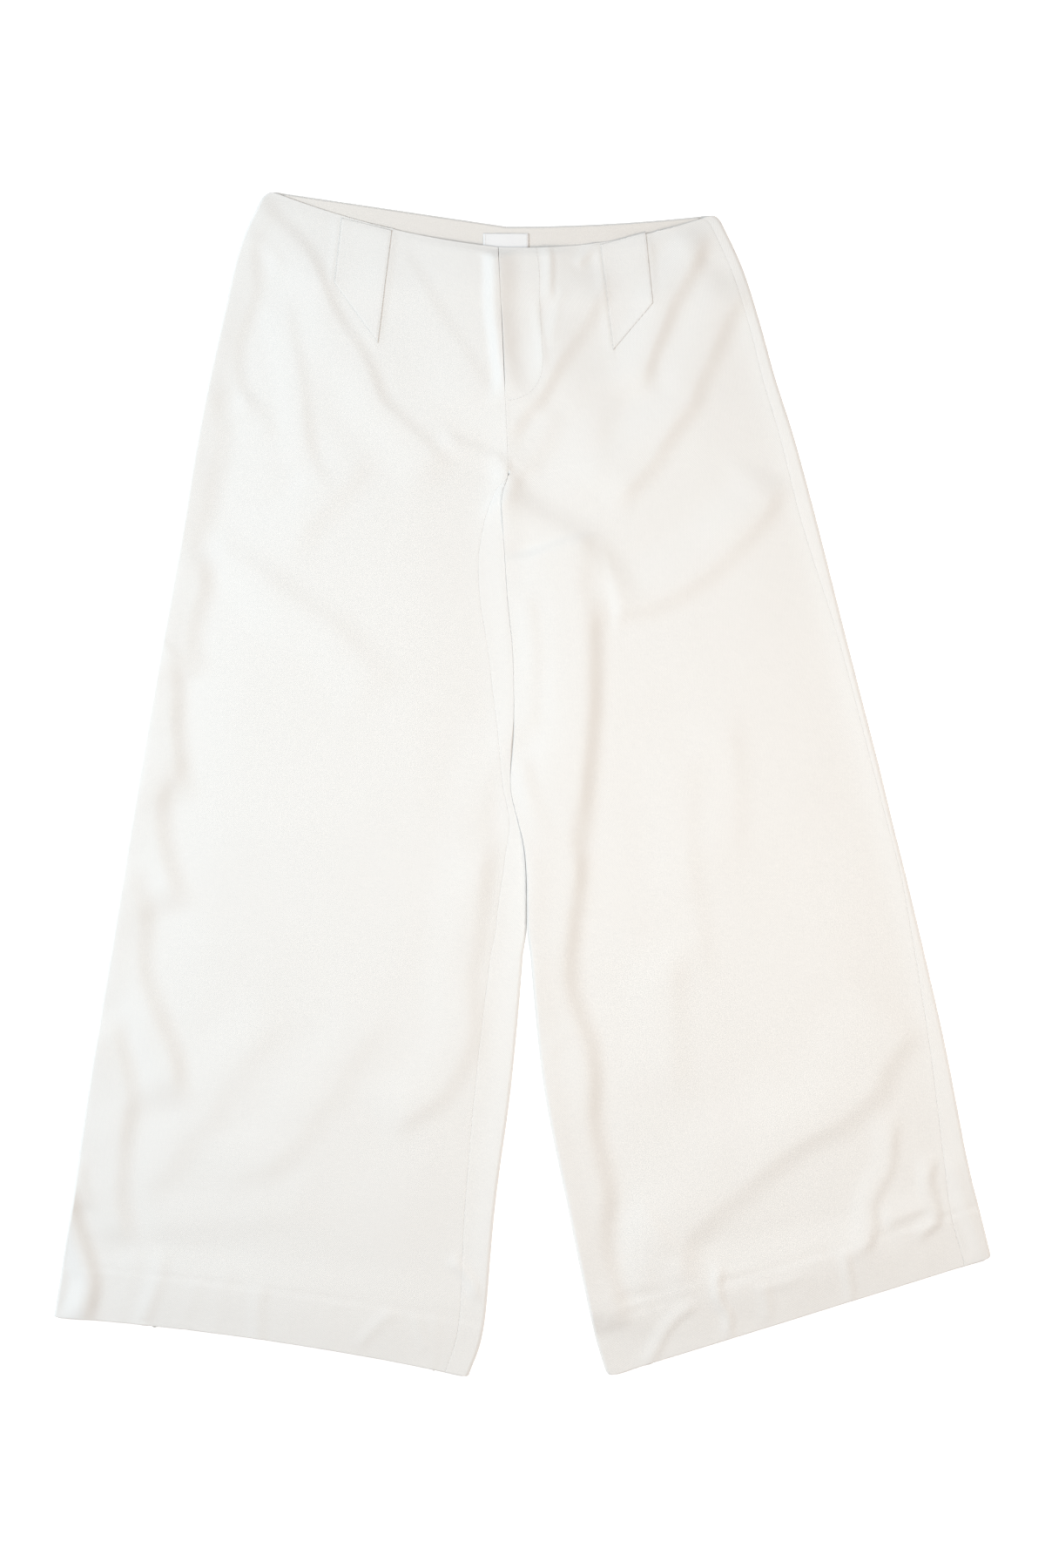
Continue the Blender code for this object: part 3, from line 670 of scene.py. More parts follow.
# The twill: fine diagonal ribs over uneven yarns, a little mottled and a little fuzzy. Sizes in metres.
RIB = 0.0009  # from rib to rib
YARN, YARN_LONG = 0.0011, 0.14  # a yarn's unevenness, drawn out along it
MOTTLE, CLOUD = 0.0045, 0.09
CREAM, CREAM_SHADE = (0.790, 0.782, 0.764), (0.760, 0.750, 0.728)


def twill(name, colour, shade_colour):
    """The cloth in a colour that its ribs, yarns and mottling shade."""
    finish = Finish(name, colour, 0.88, sheen_weight=0.12, sheen_roughness=0.45, specular_ior_level=0.22)
    ribs = finish.node(
        "ShaderNodeTexWave",
        {"bands_direction": "DIAGONAL", "wave_profile": "SIN"},
        {
            "Vector": finish.on_cut((1 / RIB, 1 / RIB)),
            "Scale": 0.32,
            "Distortion": 0.8,
            "Detail": 1.0,
            "Detail Scale": 1.5,
        },
        1,
    )
    warp_yarns = finish.speckle(finish.on_cut((1.0, YARN_LONG)), YARN, 3.0)
    weft_yarns = finish.speckle(finish.on_cut((YARN_LONG, 1.0)), YARN, 3.0)
    mottle = finish.speckle(finish.on_cut(), MOTTLE, 4.0)
    clouds = finish.speckle(finish.on_cut(), CLOUD, 2.0)
    shade_share = 0.22 * ribs + 0.3 * warp_yarns + 0.3 * weft_yarns + 0.5 * mottle + 0.35 * clouds - 0.35
    finish.coloured(shade_share, colour, shade_colour)
    finish.feed(finish.shader.inputs["Roughness"], 0.82 + 0.12 * mottle)
    finish.raised(0.5 * ribs + 0.35 * warp_yarns + 0.35 * weft_yarns, 0.00016)
    return finish


cream_twill = twill("cream_twill", CREAM, CREAM_SHADE)

# The upper side's folds, where the backs turn up as well as on the fronts. The right leg's come first, in the
# order of the leg from the waist down.
RIGHT_FOLDS = (
    # from the hip past the tab towards the crotch
    Crease(2.7, 42, 12, ((-219, 493), (-197, 474), (-184, 459), (-172, 436), (-164, 417), (-153, 396),
           (-142, 380), (-130, 357), (-120, 331), (-107, 317), (-92, 304), (-74, 286))),
    Crease(2.4, 16, 9, ((-60, 299), (-50, 294), (-40, 291), (-23, 285), (-15, 277), (-9, 266))),
    Crease(1.5, 26, 12, ((-199, 407), (-194, 380), (-189, 352), (-186, 330), (-184, 306), (-181, 288),
           (-171, 266))),
    Crease(1.9, 44, 13, ((-230, 465), (-229, 436), (-230, 420), (-236, 401), (-242, 378), (-244, 361),
           (-242, 344), (-235, 330))),
    Crease(0.8, 44, 14, ((-236, 333), (-226, 325), (-220, 313), (-217, 301))),
    Crease(0.7, 12, 8, ((-231, 471), (-223, 468), (-214, 460), (-206, 447))),
    # down the outer side, one after the other
    Crease(2.9, 44, 19, ((-262, 336), (-260, 315), (-258, 298), (-262, 279), (-267, 259), (-268, 243),
           (-271, 223), (-278, 204), (-280, 183))),
    Crease(4.2, 44, 18, ((-273, 187), (-273, 167), (-279, 150), (-283, 126), (-280, 107))),
    Crease(0.9, 9, 6, ((-309, 126), (-303, 117), (-295, 110), (-284, 102))),
    Crease(4.3, 44, 17, ((-298, 107), (-296, 93), (-296, 75), (-297, 48), (-295, 25), (-292, 3))),
    Crease(5.0, 44, 19, ((-305, 12), (-309, -4), (-310, -23), (-310, -42), (-306, -62), (-298, -89))),
    Crease(5.2, 44, 18, ((-330, -84), (-325, -114), (-326, -150), (-321, -177), (-311, -203),
           (-299, -233), (-296, -260))),
    Crease(5.2, 44, 17, ((-348, -213), (-340, -246), (-336, -273), (-339, -300), (-343, -326),
           (-346, -353), (-342, -380))),
    Crease(6.9, 18, 13, ((-387, -354), (-385, -366), (-379, -384), (-373, -406), (-369, -429), (-374, -455))),
    Crease(1.4, 44, 10, ((-378, -327), (-376, -339), (-372, -359))),
    # across the thigh
    Crease(2.8, 44, 22, ((-254, 210), (-232, 194), (-212, 178), (-186, 157), (-159, 139), (-140, 121),
           (-124, 101)), (40, 45)),
    Crease(2.3, 39, 20, ((-136, 270), (-147, 253), (-165, 234), (-186, 210)), (40, 45)),
    # across the shin
    Crease(1.7, 42, 22, ((-212, -216), (-236, -243), (-254, -267), (-266, -290), (-283, -309),
           (-300, -330), (-316, -348)), (45, 40)),
    Crease(2.0, 44, 22, ((-128, -218), (-147, -246), (-160, -270), (-176, -286), (-187, -306),
           (-203, -323), (-221, -337), (-244, -344)), (45, 45)),
    Crease(1.2, 34, 22, ((-315, -389), (-281, -388), (-254, -385), (-225, -382), (-191, -378))),
    # beside the inseam
    Crease(1.7, 39, 20, ((-12, 37), (-21, 12), (-26, -13), (-30, -39), (-29, -65), (-33, -98))),
    Crease(3.0, 44, 18, ((-30, -64), (-33, -90), (-35, -117), (-38, -143), (-42, -167), (-40, -193),
           (-41, -220), (-50, -243), (-62, -263), (-75, -277), (-100, -293))),
    # in the hem
    Crease(0.3, 12, 8, ((-332, -405), (-334, -422), (-340, -443), (-345, -462)), (None, 0)),
    Crease(1.2, 12, 9, ((-308, -410), (-310, -428), (-316, -447), (-322, -464)), (None, 0)),
    Crease(0.3, 12, 9, ((-276, -426), (-280, -443), (-288, -465)), (None, 0)),
    Crease(0.3, 13, 9, ((-249, -422), (-254, -439), (-258, -468)), (None, 0)),
    Crease(1.0, 13, 9, ((-220, -435), (-222, -450), (-223, -473)), (None, 0)),
    Crease(0.9, 10, 6, ((-111, -459), (-120, -465), (-128, -474), (-135, -483))),
    Crease(0.6, 9, 5, ((-87, -459), (-84, -470), (-80, -484))),
    Crease(0.3, 8, 5, ((-69, -458), (-71, -477), (-74, -500)), (None, 0)),
    Crease(2.0, 9, 6, ((-56, -410), (-47, -417), (-40, -426), (-37, -435))),
    # beside the tab and below it
    Crease(1.1, 44, 12, ((-98, 453), (-75, 416), (-52, 378), (-34, 348), (-18, 326))),
    Crease(0.5, 8, 1.4, ((-156.8, 488.6), (-159, 460.9), (-162.4, 430.9)), (0, 3)),
    Crease(0.3, 8, 1.4, ((-162.4, 430.9), (-144, 404.6), (-124.9, 378.4)), (0, 3)),
    Crease(1.0, 34, 6, ((-110, 476), (-116, 435), (-123, 384)), (0, 12)),
)
LEFT_FOLDS = (
    # from the hip towards the crotch
    Crease(5.8, 34, 14, ((154, 459), (148, 444), (140, 428), (131, 412), (124, 394), (119, 382),
           (113, 366), (109, 349))),
    Crease(5.2, 44, 16, ((186, 412), (176, 392), (167, 370), (155, 344), (148, 326), (136, 310),
           (125, 294), (115, 276), (104, 262), (92, 249))),
    Crease(3.5, 39, 13, ((69, 418), (58, 396), (47, 380), (35, 364), (26, 348), (17, 332), (5, 320),
           (-2, 310), (-8, 302))),
    # in the fly
    Crease(6.1, 12, 20, ((-15, 453), (-14, 436), (-14, 420), (-13, 403), (-11, 386), (-10, 371),
           (-8, 356), (-8, 345)), (10, None)),
    Crease(1.3, 10, 5, ((23, 464), (25, 456), (26, 447), (26, 433), (26, 420))),
    Crease(1.0, 8, 4, ((15, 411), (16, 396), (18, 381), (19, 363))),
    Crease(0.7, 9, 6, ((38, 421), (34, 411), (32, 399), (28, 385))),
    Crease(1.6, 9, 6, ((66, 468), (62, 461), (58, 454), (52, 447))),
    Crease(0.8, 12, 8, ((132, 481), (124, 474), (118, 465), (112, 457))),
    # from the crotch down the thigh
    Crease(6.1, 34, 25, ((-8, 252), (3, 243), (18, 234), (38, 224), (56, 211), (70, 196), (80, 181),
           (86, 163)), (16, None)),
    Crease(1.6, 29, 18, ((9, 270), (21, 291), (31, 311))),
    Crease(0.4, 6, 3, ((-12, 294), (-4, 294), (4, 293))),
    Crease(12.6, 60, 23, ((44, 204), (48, 189), (52, 171), (56, 154), (58, 126), (58, 90), (57, 51),
           (56, 25), (53, 0), (50, -26), (46, -53), (44, -75), (41, -98), (39, -124), (38, -150),
           (40, -177), (46, -200), (54, -223), (57, -249), (58, -276), (61, -303), (66, -330), (70, -353),
           (69, -379), (70, -409), (75, -434), (79, -450)), (14, None)),
    Crease(3.1, 18, 13, ((10, 157), (12, 136), (14, 110), (13, 84), (11, 56))),
    Crease(3.3, 16, 11, ((6, 11), (14, -12), (24, -38), (34, -59), (41, -75))),
    Crease(3.2, 39, 30, ((48, -64), (50, -83), (48, -105))),
    Crease(1.3, 12, 7, ((48, -215), (40, -219), (33, -225), (27, -234))),
    # across the thigh
    Crease(4.8, 47, 18, ((84, 144), (104, 147), (124, 156), (142, 166), (159, 177), (172, 187),
           (186, 201), (200, 216), (211, 229), (220, 247)), (12, 30)),
    # down the shin
    Crease(1.6, 44, 18, ((148, 7), (147, -23), (148, -57), (153, -90), (158, -120), (159, -147)), (50, 50)),
    Crease(1.8, 44, 18, ((184, 43), (188, 18), (189, -8), (189, -45)), (50, 50)),
    Crease(2.3, 44, 20, ((135, -156), (135, -180), (136, -210), (135, -244)), (50, 50)),
    Crease(2.2, 47, 26, ((71, 352), (75, 322), (74, 285), (68, 255)), (40, 40)),
    # across the shin
    Crease(4.5, 78, 22, ((334, -221), (322, -237), (314, -250), (306, -267), (290, -283), (274, -297),
           (255, -307), (232, -323), (213, -336), (195, -350), (172, -369), (158, -383), (146, -396),
           (141, -422))),
    Crease(2.4, 44, 20, ((128, -399), (116, -408), (110, -417), (112, -431))),
    # by the hem's outer corner
    Crease(2.4, 21, 9, ((322, -302), (321, -319), (318, -335), (309, -351), (304, -366), (304, -381),
           (300, -396))),
    Crease(2.7, 21, 9, ((348, -368), (338, -371), (327, -375), (318, -378))),
    Crease(2.7, 13, 7, ((354, -332), (353, -345), (358, -363), (358, -379), (348, -388))),
    Crease(1.5, 12, 9, ((376, -329), (380, -344), (386, -364), (395, -387), (399, -402))),
    Crease(1.7, 9, 5, ((282, -405), (284, -419), (286, -431), (287, -444))),
    Crease(0.9, 10, 6, ((302, -394), (296, -400), (288, -408))),
    # along the hem
    Crease(2.0, 47, 30, ((84, -473), (120, -460), (165, -450), (210, -444), (255, -434), (300, -422))),
    Crease(0.8, 8, 4, ((75, -459), (92, -453), (118, -445), (147, -438))),
    Crease(0.6, 8, 4, ((172, -425), (185, -423), (200, -420))),
    Crease(0.6, 8, 4, ((210, -438), (225, -434), (238, -429))),
    # in the hem
    Crease(2.0, 12, 5, ((114, -498), (120, -486), (126, -473), (134, -462), (144, -454))),
    Crease(1.9, 9, 5, ((172, -422), (171, -434), (174, -446), (180, -456), (180, -471))),
    Crease(0.3, 12, 9, ((108, -468), (98, -474), (87, -477), (76, -480))),
    Crease(1.1, 10, 7, ((210, -434), (213, -444), (215, -459))),
    Crease(0.2, 10, 8, ((249, -422), (250, -435), (254, -449))),
    # beside the tab
    Crease(0.8, 9, 1.6, ((66.8, 463.9), (72, 419.6), (77.6, 373.1)), (0, 3)),
    Crease(1.4, 31, 7, ((108, 474), (112, 442), (113, 416)), (0, 12)),
)

BENDING, BEND_RIPPLES = 2.2, ((62.0, 1.5), (62.0, 7.5))  # how far creases stray from their lines
CLOTH_RIPPLES = ((0.9, 75.0, 3.5), (0.2, 34.0, 8.5), (0.05, 13.0, 5.5))  # the first number is the depth
SHARED_FADE, SHARED_REACH = (-55.0, -6.0), 25.0  # from below the crotch up, the other side's folds count too
CROTCH_REACH = 30.0
WAIST_EVENS, WAIST_EVEN_DEPTH = 0.5, 12.0  # folds are lower where the waist is pressed


def upper_height(leg, across):
    """Height of the upper side with its creases and the cloth's own unevenness, and the creases' alone."""
    limit = np.clip(across, ROLL_HALF, leg.width - leg.inner_half)
    x, y = leg.spot(limit)
    bent_x, bent_y = (place + BENDING * ripple(x, y, *bend) for place, bend in zip((x, y), BEND_RIPPLES))
    own, other = (RIGHT_FOLDS, LEFT_FOLDS) if leg.side == "right" else (LEFT_FOLDS, RIGHT_FOLDS)
    over_crotch = y - RIGHT_LEG[CROTCH].inner_y
    below = np.clip(-over_crotch / CROTCH_REACH, 0.0, 1.0)
    shared = eased(over_crotch, *SHARED_FADE) * np.exp(-(((leg.width - across) / SHARED_REACH) ** 2) * below)
    lift = crease_lift(own, bent_x, bent_y) + crease_lift(other, bent_x, bent_y) * shared
    lift = lift * (1 - WAIST_EVENS * (1 - eased(leg.below_waist, 0.0, WAIST_EVEN_DEPTH)))
    uneven = sum(depth * ripple(x, y, size, layer) for depth, size, layer in CLOTH_RIPPLES)
    return upper_level(leg, x, y, limit) + lift + uneven, lift


def seam_climb(leg):
    """Degrees from the middle of the inner roll up to where the inseam lies on it."""
    return np.degrees(np.arccos(1 - np.minimum(leg.inner_wrap / leg.inner_half, 1.0)))


BACK_COLUMNS = 112
SEAM_TURNS = math.degrees(SEAM_GAP / 2 / ROLL_HALF)  # half the gap of a seam, in degrees round a roll
ROLL_GROWS = 8  # how fast the inner roll turns in full, once the legs part
UNDER_FOLDS, UNDER_FROM = 0.22, 1.0  # under a fold higher than this the back is drawn up a little too

for side, outward in (("right", -1.0), ("left", 1.0)):
    leg = Leg(side, back=True)
    outer_turn = np.full_like(leg.width, 90 - SEAM_TURNS if side == "right" else 180.0)
    climb = seam_climb(leg)
    inner_turn = np.where(climb > 89.5, 180.0, 90 + climb - SEAM_TURNS)
    inner_turn = inner_turn * np.minimum(leg.parted * ROLL_GROWS, 1.0)
    across, angle, way, total = wound(leg, -90.0, outer_turn, inner_turn, SEAM_GAP / 2, BACK_COLUMNS)
    height, lift = upper_height(leg, across)
    underside = UNDER_FOLDS * np.maximum(0.0, lift - UNDER_FROM)
    back = panel(f"{side}_back", leg, across, angle, way, total, height, underside, outward)
    back.data.materials.append(cream_twill.material)
    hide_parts(f"back_{side}")
    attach(back, "root")

# ---- The facing ---------------------------------------------------------------------------------------
# A strip of the same twill, sewn to the backs' waist edge right side to right side and turned in. It lies on
# the backs and shows above the fronts' edge. Its colour, darker and warmer than the fronts', is painted shade.

FACING_CLOTH = 1.0
FACING_AIR = 0.2
FACING_INSET = 9.0
FACING_TOP = 1.5  # below the back's edge
FACING_SPREAD = 0.08  # the hip is wider than the waist, so the strip opens this much towards its lower edge
FACING_WAVES, FACING_RIPPLE = 0.12, (30.0, 9.5)
# painted shade: the facing's colours are darker and warmer than the fronts', as it lies low under their edge
SHADED_FACING_CREAM, SHADED_FACING_MOTTLE = (0.762, 0.738, 0.706), (0.735, 0.708, 0.672)
PRESSED = 0.6  # share of the wall that a soft edge loses


def laid_cloth(name, x, y, low, cloth, soft=0.0):
    """A closed flat piece of cloth with rounded edges, from rows of places seen from above and the height
    of its lower side. The rows run from the waist down, their places from the photo's left to its right.
    A soft edge thins out over that many millimetres, as where cloth is sewn double and pressed."""
    step_x, step_y = np.diff(x, axis=1), np.diff(y, axis=1)
    way = np.pad(np.cumsum(np.hypot(step_x, step_y), axis=1), ((0, 0), (1, 0)))
    run_x, run_y = np.diff(x, axis=0), np.diff(y, axis=0)
    down = np.pad(np.cumsum(np.hypot(run_x, run_y), axis=0), ((1, 0), (0, 0)))
    edge = np.minimum(np.minimum(way, way[:, -1:] - way), np.minimum(down, down[-1:] - down))
    rounded = 1 - np.clip(edge / (cloth / 2), 0.0, 1.0)
    swell = cloth / 2 * np.maximum(np.sqrt(1 - rounded**2), FOLD_LEAST)
    middle = low + cloth / 2
    thinned = 0.0 if soft == 0 else PRESSED * cloth * (1 - np.clip(edge / soft, 0.0, 1.0)) ** 2
    outside = np.stack([x, y, middle + swell - thinned], axis=2)
    inside = np.stack([x, y, middle - swell], axis=2)
    grain = np.stack([way - way[:, -1:] / 2, down], axis=2) * MM
    return shell(name, outside, inside, grain, 1.0)


tops = []
for side in ("right", "left"):
    leg = Leg(side, back=True)
    across = np.linspace(FACING_INSET, leg.width[0, 0], 90)[None, :] * np.ones_like(leg.width)
    x, y = leg.spot(across)
    tops.append(np.stack([x[0], y[0]], axis=1))
waist_line = np.concatenate([tops[0], tops[1][-2::-1]])
middle_x = tops[0][-1, 0]
down = between_edges(FACING_DEPTH - FACING_TOP, 26)[:, None]
waist_x, waist_y = waist_line.T[:, None, :]
facing_x = waist_x + (waist_x - middle_x) * FACING_SPREAD * down / FACING_DEPTH
facing_y = waist_y - FACING_TOP - down
facing_low = CLOTH + FACING_AIR + FACING_WAVES * (1 + ripple(facing_x, facing_y, *FACING_RIPPLE))
facing = laid_cloth("back_facing_cloth", facing_x, facing_y, facing_low, FACING_CLOTH)
# the facing's twill, coloured with painted shade
inner_twill = twill("inner_twill", SHADED_FACING_CREAM, SHADED_FACING_MOTTLE)
facing.data.materials.append(inner_twill.material)
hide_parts("back_facing")
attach(facing, "root")

# ---- The label ----------------------------------------------------------------------------------------
# A small bare tab of smooth white woven tape, its ends folded under and sewn to the facing.

LABEL_WIDTH, LABEL_HEIGHT, LABEL_CLOTH = 39.0, 20.0, 0.5
LABEL_X, LABEL_TOP = -14.25, 473.6
LABEL_AIR, LABEL_BOW = 0.5, 0.25  # the tape bows up a little between its ends
WHITE, WHITE_SHADE = (0.84, 0.84, 0.84), (0.78, 0.78, 0.79)
THREAD_CREAM, THREAD_SHADE = (0.80, 0.795, 0.78), (0.76, 0.75, 0.73)
STITCH, STITCH_GAP, THREAD = 2.4, 0.7, 0.34
STITCH_STANDS = 0.3  # how far over the cloth a stitch's middle is, in threads
LABEL_SEAM, LABEL_SEAM_ENDS = 1.6, (0.8, 0.6)  # from the label's ends, and from its upper and lower edge

down, out = np.meshgrid(np.linspace(0, 1, 24), np.linspace(0, 1, 40), indexing="ij")
label_x = LABEL_X + LABEL_WIDTH * (out - 0.5)
label_y = LABEL_TOP - LABEL_HEIGHT * down
label_low = CLOTH + FACING_AIR + FACING_CLOTH + LABEL_AIR + LABEL_BOW * np.sin(math.pi * out)
label = laid_cloth("bare_label", label_x, label_y, label_low, LABEL_CLOTH)
white_tape = Finish("white_tape", WHITE, 0.6, sheen_weight=0.1, specular_ior_level=0.4)
tape_yarns = white_tape.node(
    "ShaderNodeTexWave",
    {"bands_direction": "Y", "wave_profile": "SIN"},
    {"Vector": white_tape.on_cut(), "Scale": 520.0, "Distortion": 0.4},
    1,
)
white_tape.coloured(0.5 * tape_yarns, WHITE, WHITE_SHADE)
white_tape.raised(tape_yarns, 0.00006)
label.data.materials.append(white_tape.material)
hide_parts("label")
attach(label, "root")

# Both ends are sewn down with a row of stitches.
cream_thread = Finish("cream_thread", THREAD_CREAM, 0.55, sheen_weight=0.2, specular_ior_level=0.4)
plies = cream_thread.speckle(cream_thread.on_object(), 0.0006)
cream_thread.coloured(plies, THREAD_CREAM, THREAD_SHADE)


def surface_height(piece):
    """A function that gives the height of a piece's upper side."""
    tree = BVHTree.FromPolygons(
        [vertex.co for vertex in piece.data.vertices], [tuple(face.vertices) for face in piece.data.polygons]
    )

    def height(x, y):
        found = np.zeros_like(x)
        for index in np.ndindex(x.shape):
            hit = tree.ray_cast(Vector((x[index] * MM, y[index] * MM, 0.1)), Vector((0, 0, -1)))[0]
            found[index] = np.nan if hit is None else hit.z / MM
        return found

    return height


def sewn(name, line, piece):
    """Stitches along a line of places on a piece's upper side, copied from one and joined."""
    places = np.array(line, float)
    reached = np.concatenate([[0.0], np.cumsum(np.hypot(*np.diff(places, axis=0).T))])
    starts = np.arange(0.3, reached[-1] - STITCH, STITCH + STITCH_GAP)
    ends = np.stack([starts, starts + STITCH])
    x, y = np.interp(ends, reached, places[:, 0]), np.interp(ends, reached, places[:, 1])
    spots = np.stack([x, y, surface_height(piece)(x, y)], axis=2) * MM
    bpy.ops.object.select_all(action="DESELECT")
    bpy.ops.mesh.primitive_cylinder_add(vertices=6, radius=THREAD / 2 * MM, depth=STITCH * MM)
    first = bpy.context.object
    for number, (start, end) in enumerate(zip(*spots)):
        stitch = first
        if number:
            stitch = first.copy()
            stitch.data = first.data.copy()
            bpy.context.scene.collection.objects.link(stitch)
        stitch.location = Vector((start + end) / 2) + Vector((0, 0, STITCH_STANDS * THREAD * MM))
        stitch.rotation_euler = Vector(end - start).to_track_quat("Z", "Y").to_euler()
        stitch.select_set(True)
    bpy.context.view_layer.objects.active = first
    bpy.ops.object.join()
    bpy.ops.object.transform_apply(location=True, rotation=True, scale=True)
    bpy.ops.object.shade_smooth()
    first.name = name
    first.data.materials.append(cream_thread.material)
    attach(first, "root")


for side, hand in (("right", -1), ("left", 1)):
    seam_x = LABEL_X + hand * (LABEL_WIDTH / 2 - LABEL_SEAM)
    seam_top, seam_foot = LABEL_TOP - LABEL_SEAM_ENDS[0], LABEL_TOP - LABEL_HEIGHT + LABEL_SEAM_ENDS[1]
    sewn(f"label_stitches_{side}", ((seam_x, seam_top), (seam_x, seam_foot)), label)

# ---- The underlap -------------------------------------------------------------------------------------
# Hidden behind the fly: a straight strip of the twill that keeps the zip off the skin, sewn to the right
# front's fly edge.

UNDERLAP_WIDTH, UNDERLAP_CLOTH, UNDERLAP_TUCK = 40.0, 1.0, 4.0
UNDERLAP_TOP = RIGHT_LEG[0].inner_y - 1.5
UNDERLAP_LOW, UNDERLAP_CLIMBS, UNDERLAP_FADE = 1.5, 2.2, (7.0, 37.0)  # it climbs over the label at the waist


def underlap_level(y):
    """Height of the underlap's lower side: over the label at the waist, on the back further down."""
    return UNDERLAP_LOW + UNDERLAP_CLIMBS * (1 - eased(HOOK_Y - y, *UNDERLAP_FADE))


down, out = np.meshgrid(np.linspace(0, 1, 60), np.linspace(0, 1, 24), indexing="ij")
underlap_y = UNDERLAP_TOP + (FLY_BOTTOM - UNDERLAP_TOP) * down
underlap_x = fly_seam(underlap_y) - UNDERLAP_TUCK + UNDERLAP_WIDTH * out
underlap = laid_cloth("underlap_cloth", underlap_x, underlap_y, underlap_level(underlap_y), UNDERLAP_CLOTH)
underlap.data.materials.append(cream_twill.material)
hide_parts("fly_underlap")
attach(underlap, "root")

# ---- The zip ------------------------------------------------------------------------------------------
# A closed zip behind the fly: two white woven tapes on the underlap, a moulded chain between them, and a
# steel slider at the top whose pull lies down on the chain.

ZIP_TOP, ZIP_FOOT = 434.0, 344.0
ZIP_OFF = 15.8  # from the fly's slit to the middle of the chain
TAPE_EDGES = (0.7, 11.9)  # from the middle of the chain
TAPE_CLOTH = 0.5
TOOTH, TOOTH_THICK, TOOTH_PITCH = 2.7, 0.9, 1.5
TOOTH_OFF = 1.0  # of a tooth's middle from the middle of the chain
CHAIN_ENDS = 1.0  # how much shorter than the tapes the chain is at each end
TAPE_LEVEL = UNDERLAP_CLOTH + 0.1  # of the tapes' lower side, over the underlap's
TOOTH_SUNK = 0.05  # in the tapes
PLASTIC = (0.82, 0.82, 0.81)

for name, ends in (("zip_tape_right", (-TAPE_EDGES[1], -TAPE_EDGES[0])), ("zip_tape_left", TAPE_EDGES)):
    down, out = np.meshgrid(np.linspace(0, 1, 50), np.linspace(0, 1, 12), indexing="ij")
    tape_y = ZIP_TOP + (ZIP_FOOT - ZIP_TOP) * down
    tape_x = fly_seam(tape_y) + ZIP_OFF + ends[0] + (ends[1] - ends[0]) * out
    tape = laid_cloth(name, tape_x, tape_y, underlap_level(tape_y) + TAPE_LEVEL, TAPE_CLOTH)
    tape.data.materials.append(white_tape.material)
    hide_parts("zip")
    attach(tape, "root")

white_plastic = Finish("white_plastic", PLASTIC, 0.4, specular_ior_level=0.5)
grain = white_plastic.speckle(white_plastic.on_object(), 0.002)
white_plastic.feed(white_plastic.shader.inputs["Roughness"], 0.32 + 0.15 * grain)
first_y = ZIP_TOP - CHAIN_ENDS
first_x = float(fly_seam(first_y)) + ZIP_OFF
bpy.ops.object.select_all(action="DESELECT")
for hand in (-1, 1):
    bpy.ops.mesh.primitive_cylinder_add(
        vertices=8,
        radius=TOOTH_THICK / 2 * MM,
        depth=TOOTH * MM,
        location=((first_x + hand * TOOTH_OFF) * MM, (first_y - (hand + 1) * TOOTH_PITCH / 4) * MM, 0),
        rotation=(0, math.pi / 2, 0),
    )
    if hand < 0:
        chain = bpy.context.object
        bpy.ops.object.transform_apply(location=True, rotation=True, scale=True)
        bpy.ops.object.mode_set(mode="EDIT")
bpy.ops.object.mode_set(mode="OBJECT")
chain.name = "zip_chain"
teeth = chain.modifiers.new("teeth", "ARRAY")
teeth.count = int((ZIP_TOP - ZIP_FOOT - 2 * CHAIN_ENDS) / TOOTH_PITCH)
teeth.use_relative_offset = False
teeth.use_constant_offset = True
next_x = float(fly_seam(first_y - TOOTH_PITCH)) + ZIP_OFF
teeth.constant_offset_displace = ((next_x - first_x) * MM, -TOOTH_PITCH * MM, 0)
bpy.ops.object.modifier_apply(modifier="teeth")
for vertex in chain.data.vertices:
    tooth_low = underlap_level(vertex.co.y / MM) + TAPE_LEVEL + TAPE_CLOTH - TOOTH_SUNK
    vertex.co.z += (tooth_low + TOOTH_THICK / 2) * MM
bpy.ops.object.shade_smooth_by_angle(angle=math.radians(40))
chain.data.materials.append(white_plastic.material)
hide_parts("zip")
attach(chain, "root")

# The slider: a plate over the chain with its two sides turned down, narrower at its foot. A ring on it
# holds the pull.
STEEL, STEEL_SCRATCHED = (0.45, 0.44, 0.43), (0.52, 0.51, 0.5)
brushed_steel = Finish("brushed_steel", STEEL, 0.36, metallic=1.0)
scratches = brushed_steel.speckle(brushed_steel.on_object((0.12, 1.0, 1.0)), 0.0004, 3.0)
brushed_steel.feed(brushed_steel.shader.inputs["Roughness"], 0.28 + 0.2 * scratches)
brushed_steel.coloured(scratches, STEEL, STEEL_SCRATCHED)
SLIDER_Y, SLIDER_FLAT, SLIDER_LONG = 428.5, 5.7, 8.6
SLIDER_TURNS = ((0.3, 0, -0.15), (0.15, 0, -0.3), (0, 0, -0.65))
SLIDER_NARROWS = 0.14
PULL, PULL_X, PULL_Y = (3.6, 13.0), 0.6, -9.0  # its size, and its middle from the slider's
RING, RING_WIRE, RING_Y, RING_OVER = 1.2, 0.32, -1.6, 1.1
STEEL_SHEET, STEEL_EDGE = 0.45, 0.1


